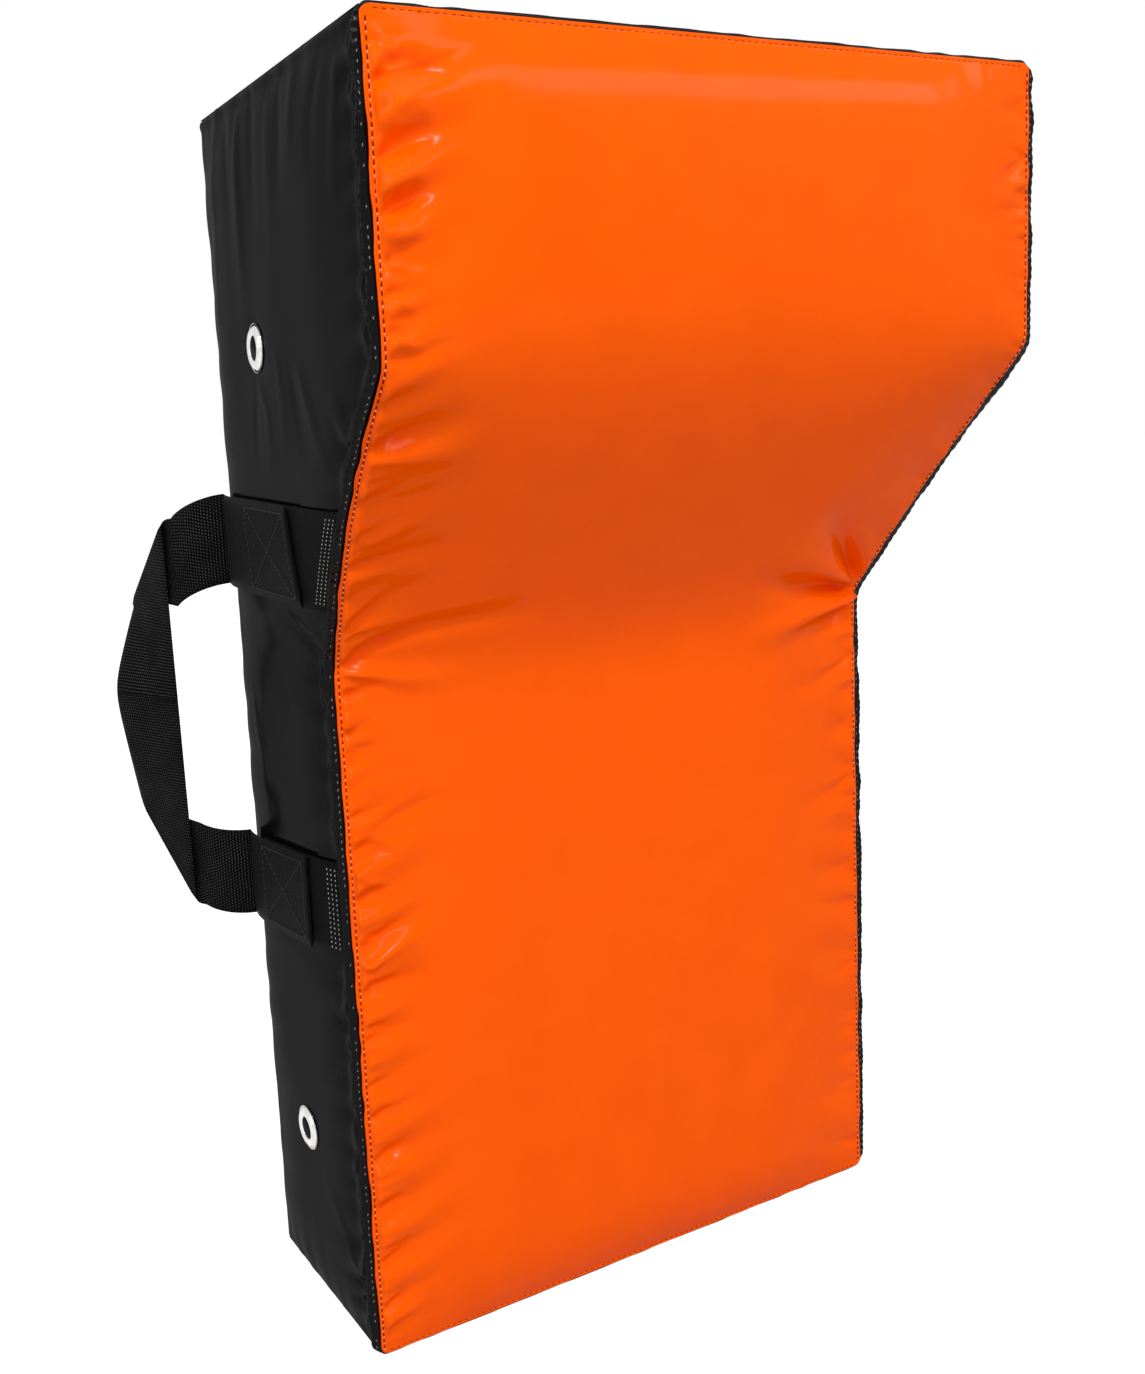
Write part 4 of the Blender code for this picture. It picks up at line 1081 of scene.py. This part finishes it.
def make_foam(name, node, heights):
    """A block inside the covers, drawn in so that no dent of the cover reaches it."""
    rings = []
    for height in heights:
        z = np.full(9, height)
        x = np.linspace(-1, 1, 9) * (half_width(z) - FOAM_INSET - 0.002)
        low = np.minimum(np.maximum(z, BOTTOM + 0.02), TOP - 0.02)
        front = np.stack([x, front_y(x, low) + FOAM_FRONT_INSET, z], axis=-1)
        y = mix(front[-1, 1], REAR - FOAM_INSET, np.linspace(0.15, 0.85, 4))
        right = np.stack([side_base(y, height + 0 * y) - FOAM_INSET, y, height + 0 * y], axis=-1)
        rear_x = np.linspace(1, -1, 7) * (HALF_WIDTH - FOAM_INSET - 0.001)
        rear = np.stack([rear_x, REAR - FOAM_INSET + 0 * rear_x, height + 0 * rear_x], axis=-1)
        left = right[::-1] * np.array([-1, 1, 1])
        rings.append(np.concatenate([front, right, rear, left]))
    points = np.stack(rings)
    block = ring_object(name, points, points[..., (0, 2)], FOAM)
    keep(block, "shield", "foam", node)


# Webbing


def surface_mark(side, middle, climb, lift, along, across):
    """A point on a strap's outer face, by its place along Y and across the strap."""
    z = middle + across + climb * (REAR - along) / SLAB_DEPTH
    x = side_reach(along, z) + lift + WEB_THICKNESS
    return np.stack([side * x, along, z], axis=-1)


def strap_line(side, middle, climb, start, end):
    """Points between two places (y, across) on the end of the handle that lies on a strap."""
    share = np.linspace(0, 1, 40)
    along, across = mix(start[0], end[0], share), mix(start[1], end[1], share)
    path = surface_mark(side, middle, climb, TAB_LIFT, along, across)
    return path, same_normal(path, (side, 0, 0))


def make_anchor(side_name, side, level, middle, climb):
    """The strap that is sewn into the front seam, and the bar stitches at its front end."""
    name = f"{side_name}_{level}"
    offset = WEB_WIDTH / 2 * np.linspace(-1, 1, 12)[None, :]
    seam = middle + offset + climb
    stretch = np.sqrt(1 + ((seam_y(seam + WALL) - seam_y(seam - WALL)) / (2 * WALL)) ** 2)
    y = mix(seam_y(seam) + 0.0028 * stretch, REAR - ANCHOR_SETBACK, np.linspace(0, 1, 60)[:, None])
    z = middle + offset + climb * (REAR - y) / SLAB_DEPTH
    x = side_reach(y, z) + ANCHOR_LIFT + WEB_THICKNESS / 2
    uvs = np.stack([offset + 0 * y, y - REAR], axis=-1)
    strap = ribbon_object(f"{name}_anchor", np.stack([side * x, y, z], axis=-1), uvs, TWILL)
    keep(strap, "shield", "webbing", f"{name}_anchor_strap")
    across = np.linspace(-BAR_REACH, BAR_REACH, 30)
    for number in range(BAR_ROWS):
        along = seam_y(middle + across + climb) + BAR_START + number * BAR_SPACING
        path = surface_mark(side, middle, climb, ANCHOR_LIFT, along, across)
        normal = same_normal(path, (side, 0, 0))
        row = stitches(f"{name}_bar_{number}", path, normal, PALE_THREAD, BAR_STITCH, number)
        keep(row, "shield", "webbing")


def level_point(heading):
    return np.array([math.cos(heading), math.sin(heading), 0.0])


def bend_point(length):
    end = START_HEADING + length / BEND_RADIUS
    out = math.sin(end) - math.sin(START_HEADING)
    back = math.cos(START_HEADING) - math.cos(end)
    return np.array([out, back, 0.0]) * BEND_RADIUS


def grip_corner(heading):
    corner = bend_point(BEND_RADIUS * (heading - START_HEADING))
    corner = corner + level_point(heading) * FOLD_TURN / math.sqrt(2)
    return corner + level_point(heading - math.pi / 2) * 2 * FOLD_RADIUS


def ribbon_point(length, across, heading, drop, grip_length):
    """A point of half of the handle's webbing, in the handle's frame."""
    bend = BEND_RADIUS * (heading - START_HEADING)
    down = np.array([0.0, 0.0, -1.0])
    if length < bend:
        return bend_point(length) + down * (across + drop * (max(length, 0) / bend) ** DROP_POWER)
    past = (length - bend - across) / math.sqrt(2)
    along = (length - bend + across) / math.sqrt(2)
    turn = min(max(past / FOLD_RADIUS, 0), math.pi)
    grip_down = length - bend
    if turn == math.pi:
        middle = (grip_corner(UPPER_HEADING) + grip_corner(LOWER_HEADING)) / 2
        inner = mix(grip_corner(heading), middle, grip_down / grip_length)
        twist = min(max((grip_down - TWIST_START) / (grip_length - TWIST_START), 0), 1)
        outer = level_point(mix(heading, GRIP_HEADING, twist))
        return inner + outer * across + down * (drop + grip_down - FOLD_TURN / math.sqrt(2))
    crease = (level_point(heading) + down) / math.sqrt(2)
    beyond = (level_point(heading) - down) / math.sqrt(2)
    point = bend_point(bend) + down * drop + crease * along
    if turn == 0:
        return point + beyond * past
    outward = level_point(heading - math.pi / 2)
    return point + (beyond * math.sin(turn) + outward * (1 - math.cos(turn))) * FOLD_RADIUS


def ribbon_rows(tab, bend, fold_end, centre):
    """Where the rows of half of the handle cross its two edges, as lengths from the hinge."""
    rows = [(place, place) for place in np.linspace(-tab, -0.003, TAB_ROWS)]
    for share in np.linspace(0, 1, BEND_ROWS, endpoint=False):
        rows.append((bend * share, (bend + WEB_WIDTH) * share))
    for share in np.linspace(0, 1, CREASE_ROWS, endpoint=False):
        start = mix(bend, fold_end, share)
        rows.append((start, start + WEB_WIDTH))
    for share in np.linspace(0, 1, GRIP_ROWS):
        rows.append((mix(fold_end, centre, share), mix(fold_end + WEB_WIDTH, centre, share)))
    return rows


def make_handle(side_name, side):
    """One length of webbing: sewn end, bend, diagonal fold, twisted grip, and the same again."""
    top_edge = (UPPER_STRAP - LOWER_STRAP + WEB_WIDTH) / 2
    halves = []
    for (half, heading, drop), (_, middle, climb, tab) in zip(HALVES, STRAPS):
        bend = BEND_RADIUS * (heading - START_HEADING)
        fold_end = bend + FOLD_TURN * math.sqrt(2)
        grip_length = top_edge - drop + FOLD_TURN / math.sqrt(2) - half * GRIP_LIFT
        centre = bend + grip_length
        points, uvs = [], []
        for near, far in ribbon_rows(tab, bend, fold_end, centre):
            row, row_uv = [], []
            for across in np.linspace(0, 1, RIBBON_COLUMNS):
                length = mix(near, far, across)
                width = across * WEB_WIDTH
                if length < 0 and near < 0:
                    y = REAR + length
                    z = middle + half * (WEB_WIDTH / 2 - width) + climb * (REAR - y) / SLAB_DEPTH
                    x = float(side_reach(y, z)) + TAB_LIFT + WEB_THICKNESS / 2
                    row.append((side * x, y, z))
                else:
                    out, back, up = ribbon_point(length, width, heading, drop, grip_length)
                    row.append((side * (PIVOT_OUT + out), REAR + back, PIVOT_HEIGHT + half * (top_edge + up)))
                row_uv.append((half * (width - WEB_WIDTH / 2), half * (length - centre)))
            points.append(row)
            uvs.append(row_uv)
        halves.append((np.array(points), np.array(uvs)))
    (points, uvs), (lower_points, lower_uvs) = halves
    middle_row = len(points) - 1
    points = np.concatenate([points, lower_points[-2::-1]])
    uvs = np.concatenate([uvs, lower_uvs[-2::-1]])
    away = np.abs(np.arange(len(points)) - middle_row)
    softness = (1 - ramp(away, *EVEN_ROWS))[:, None, None]
    for _ in range(EVEN_PASSES):
        points[1:-1] += softness[1:-1] * ((points[:-2] + points[2:]) / 2 - points[1:-1]) * EVEN_SHARE
    handle = ribbon_object(f"{side_name}_handle", points, uvs, WEB)
    # The sewn ends take the lighter tab webbing: painted light on the same length of webbing
    handle.data.materials.append(LIT_TAB_WEBBING)
    ring, last = 2 * RIBBON_COLUMNS, len(points) - 1
    for face in handle.data.polygons:
        row = min(face.vertices) // ring
        if row < TAB_ROWS - 1 or row >= last - (TAB_ROWS - 1):
            face.material_index = 1
    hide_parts(f"{side_name}_handle_loop", f"{side_name}_upper_handle_tab",
                f"{side_name}_lower_handle_tab")
    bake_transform(handle)


def make_box_cross(side_name, side, level, middle, climb, tab):
    """The boxed cross that holds each end of the handle."""
    front = REAR - tab + BOX_MARGIN
    rear = front + BOX_LENGTH[level]
    high = WEB_WIDTH / 2 - BOX_MARGIN
    corners = ((front, -high), (front, high), (rear, high), (rear, -high))
    lines = list(zip(corners, corners[1:] + corners[:1]))
    lines += [(corners[0], corners[2]), (corners[1], corners[3])]
    for number, (start, end) in enumerate(lines):
        path, normal = strap_line(side, middle, climb, start, end)
        name = f"{side_name}_{level}_box_{number}"
        keep(stitches(name, path, normal, BLACK_THREAD_AND_SHADE, BOX_STITCH, number), "shield", "webbing")


# Eyelets


def make_eyelet(side_name, side, level, height, setback):
    """A domed nickel ring with a rolled mouth and a barrel through the cover, and gauze across it."""
    dome = []
    for share in np.linspace(0, 1, 15):
        radius = mix(BORE_RADIUS, EYELET_RADIUS, share)
        rise = 0.0019 * math.sin(math.pi * min(share * 1.15 + 0.10, 1.0)) ** 0.6
        dome.append((radius, SEAT + rise * mix(1, 0.35, max(share - 0.78, 0) / 0.22)))
    section = np.array(dome + [*EYELET_BACK, *BARREL])
    turns = np.linspace(0, 2 * math.pi, 65)[:-1]
    turning, radius = crossed(turns, section[:, 0])
    across, along = radius * np.cos(turning), radius * np.sin(turning)
    points = np.stack([across, along, 0 * radius + section[:, 1]], axis=-1)
    seat = eyelet_frame(side, setback, height)
    matrix = np.array(seat)
    points = points @ matrix[:3, :3].T + matrix[:3, 3]
    name = f"{side_name}_{level}_ring"
    faces = tube_faces(len(turns), len(section), closed_rows=True)
    data = face_outwards(mesh_data(name, points.reshape(-1, 3), faces))
    ring = new_object(name, data, NICKEL)
    # The barrel's inside and the mouth's inner edge take the black thread's finish instead of nickel: painted
    # shade in the hole
    data.materials.append(BLACK_THREAD_AND_SHADE)
    barrel, last = len(dome) + len(EYELET_BACK), len(section) - 1
    for face in data.polygons:
        columns = {vertex % len(section) for vertex in face.vertices}
        if min(columns) >= barrel or columns == {0, last}:
            face.material_index = 1
    keep(ring, "shield", "nickel", f"{side_name}_{level}_eyelet")
    mesh = bmesh.new()
    bmesh.ops.create_circle(mesh, cap_ends=True, segments=32, radius=BARREL_RADIUS - 0.0003)
    bmesh.ops.transform(mesh, matrix=seat @ Matrix.Translation((0, 0, -GAUZE_DEPTH)), verts=mesh.verts)
    name = f"{side_name}_{level}_vent_gauze"
    gauze = new_object(name, written(mesh, bpy.data.meshes.new(name)), TWILL)
    keep(gauze, "shield", "webbing")


# Camera, floor and light


def add_lamp(name, place, target, size, power):
    lamp = bpy.data.lights.new(name, "AREA")
    lamp.shape = "RECTANGLE"
    lamp.size, lamp.size_y = size
    lamp.energy = power
    obj = link(bpy.data.objects.new(name, lamp))
    obj.location = place
    obj.rotation_euler = (Vector(target) - Vector(place)).to_track_quat("-Z", "Y").to_euler()


def camera_rays(tree):
    """1 for rays that should see the background plain white."""
    path = tree.nodes.new("ShaderNodeLightPath")
    total = path.outputs["Is Camera Ray"]
    for name in ("Is Glossy Ray", "Is Transmission Ray"):
        node = tree.nodes.new("ShaderNodeMath")
        node.operation = "MAXIMUM"
        tree.links.new(total, node.inputs[0])
        tree.links.new(path.outputs[name], node.inputs[1])
        total = node.outputs[0]
    return total


def make_floor():
    """A grey floor that glows for the camera and in reflections, and so adds no light of its own."""
    n = Nodes("floor_white")
    material = n.set(Base_Color=(0.5, 0.5, 0.5, 1), Roughness=0.9)
    glow = n.add("ShaderNodeEmission", [("Strength", FLOOR_GLOW)])
    seen = n.math("MULTIPLY", camera_rays(n.tree), FLOOR_GLOW_SHARE)
    both = n.add("ShaderNodeMixShader", [("Fac", seen), (1, n.shader.outputs[0]), (2, glow.outputs[0])])
    n.tree.links.new(both.outputs[0], n.tree.nodes["Material Output"].inputs["Surface"])
    mesh = bmesh.new()
    bmesh.ops.create_grid(mesh, x_segments=8, y_segments=8, size=6)
    new_object("floor", written(mesh, bpy.data.meshes.new("floor")), material)


def make_world():
    """White where the camera sees it, and dim as a light on the part."""
    world = bpy.data.worlds.new("studio")
    bpy.context.scene.world = world
    world.use_nodes = True
    tree = world.node_tree
    background = tree.nodes["Background"]
    strength = tree.nodes.new("ShaderNodeMapRange")
    tree.links.new(camera_rays(tree), strength.inputs["Value"])
    strength.inputs["To Min"].default_value = WORLD_LIGHT
    strength.inputs["To Max"].default_value = 1.0
    background.inputs["Color"].default_value = (1, 1, 1, 1)
    tree.links.new(strength.outputs["Result"], background.inputs["Strength"])


def make_camera():
    """The photo's camera, as found from ten corners of the cover."""
    back = Matrix.Rotation(CAMERA_TURN.length, 3, CAMERA_TURN.normalized()).transposed()
    camera = bpy.data.cameras.new("camera")
    camera.lens = FOCAL_PIXELS * SENSOR / PHOTO_HEIGHT
    camera.shift_x = (PHOTO_WIDTH / 2 - CENTRE_ACROSS) / PHOTO_HEIGHT
    camera.shift_y = (CENTRE_DOWN - PHOTO_HEIGHT / 2) / PHOTO_HEIGHT
    camera.clip_start = 0.02
    obj = link(bpy.data.objects.new("camera", camera))
    turned = back @ Matrix(((1, 0, 0), (0, -1, 0), (0, 0, -1)))
    place = Vector((0, REAR, BOTTOM)) - back @ CAMERA_SHIFT
    obj.matrix_world = Matrix.Translation(place) @ turned.to_4x4()
    bpy.context.scene.camera = obj


def main():
    make_camera()
    make_front_cover()
    make_front_stitches()
    make_rear_cover()
    make_end_cover("top", TOP, top_height, 1, 101)
    make_end_cover("bottom", BOTTOM, bottom_height, -1, 111)
    make_end_welt("top", TOP, 1)
    make_end_welt("bottom", BOTTOM, -1)
    foam_rows = np.linspace(BOTTOM + FOAM_INSET, TOP - FOAM_INSET, 40)
    make_foam("foam_inner_slab", "foam_slab", foam_rows[foam_rows < WAIST])
    make_foam("foam_inner_wedge", "foam_wedge", foam_rows[foam_rows > WAIST])
    for side_name, side in SIDES:
        make_side_cover(side_name, side)
        make_side_welt(side_name, side)
        for level, middle, climb, tab in STRAPS:
            make_anchor(side_name, side, level, middle, climb)
            make_box_cross(side_name, side, level, middle, climb, tab)
        make_handle(side_name, side)
        for level, height, setback in EYELETS:
            make_eyelet(side_name, side, level, height, setback)
            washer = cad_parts[f"{side_name}_{level}_eyelet_washer"]
            for slot in washer.material_slots:
                slot.material = NICKEL
    make_floor()
    make_world()
    for lamp in LAMPS:
        add_lamp(*lamp)
    bpy.context.scene.view_settings.view_transform = "Standard"


main()
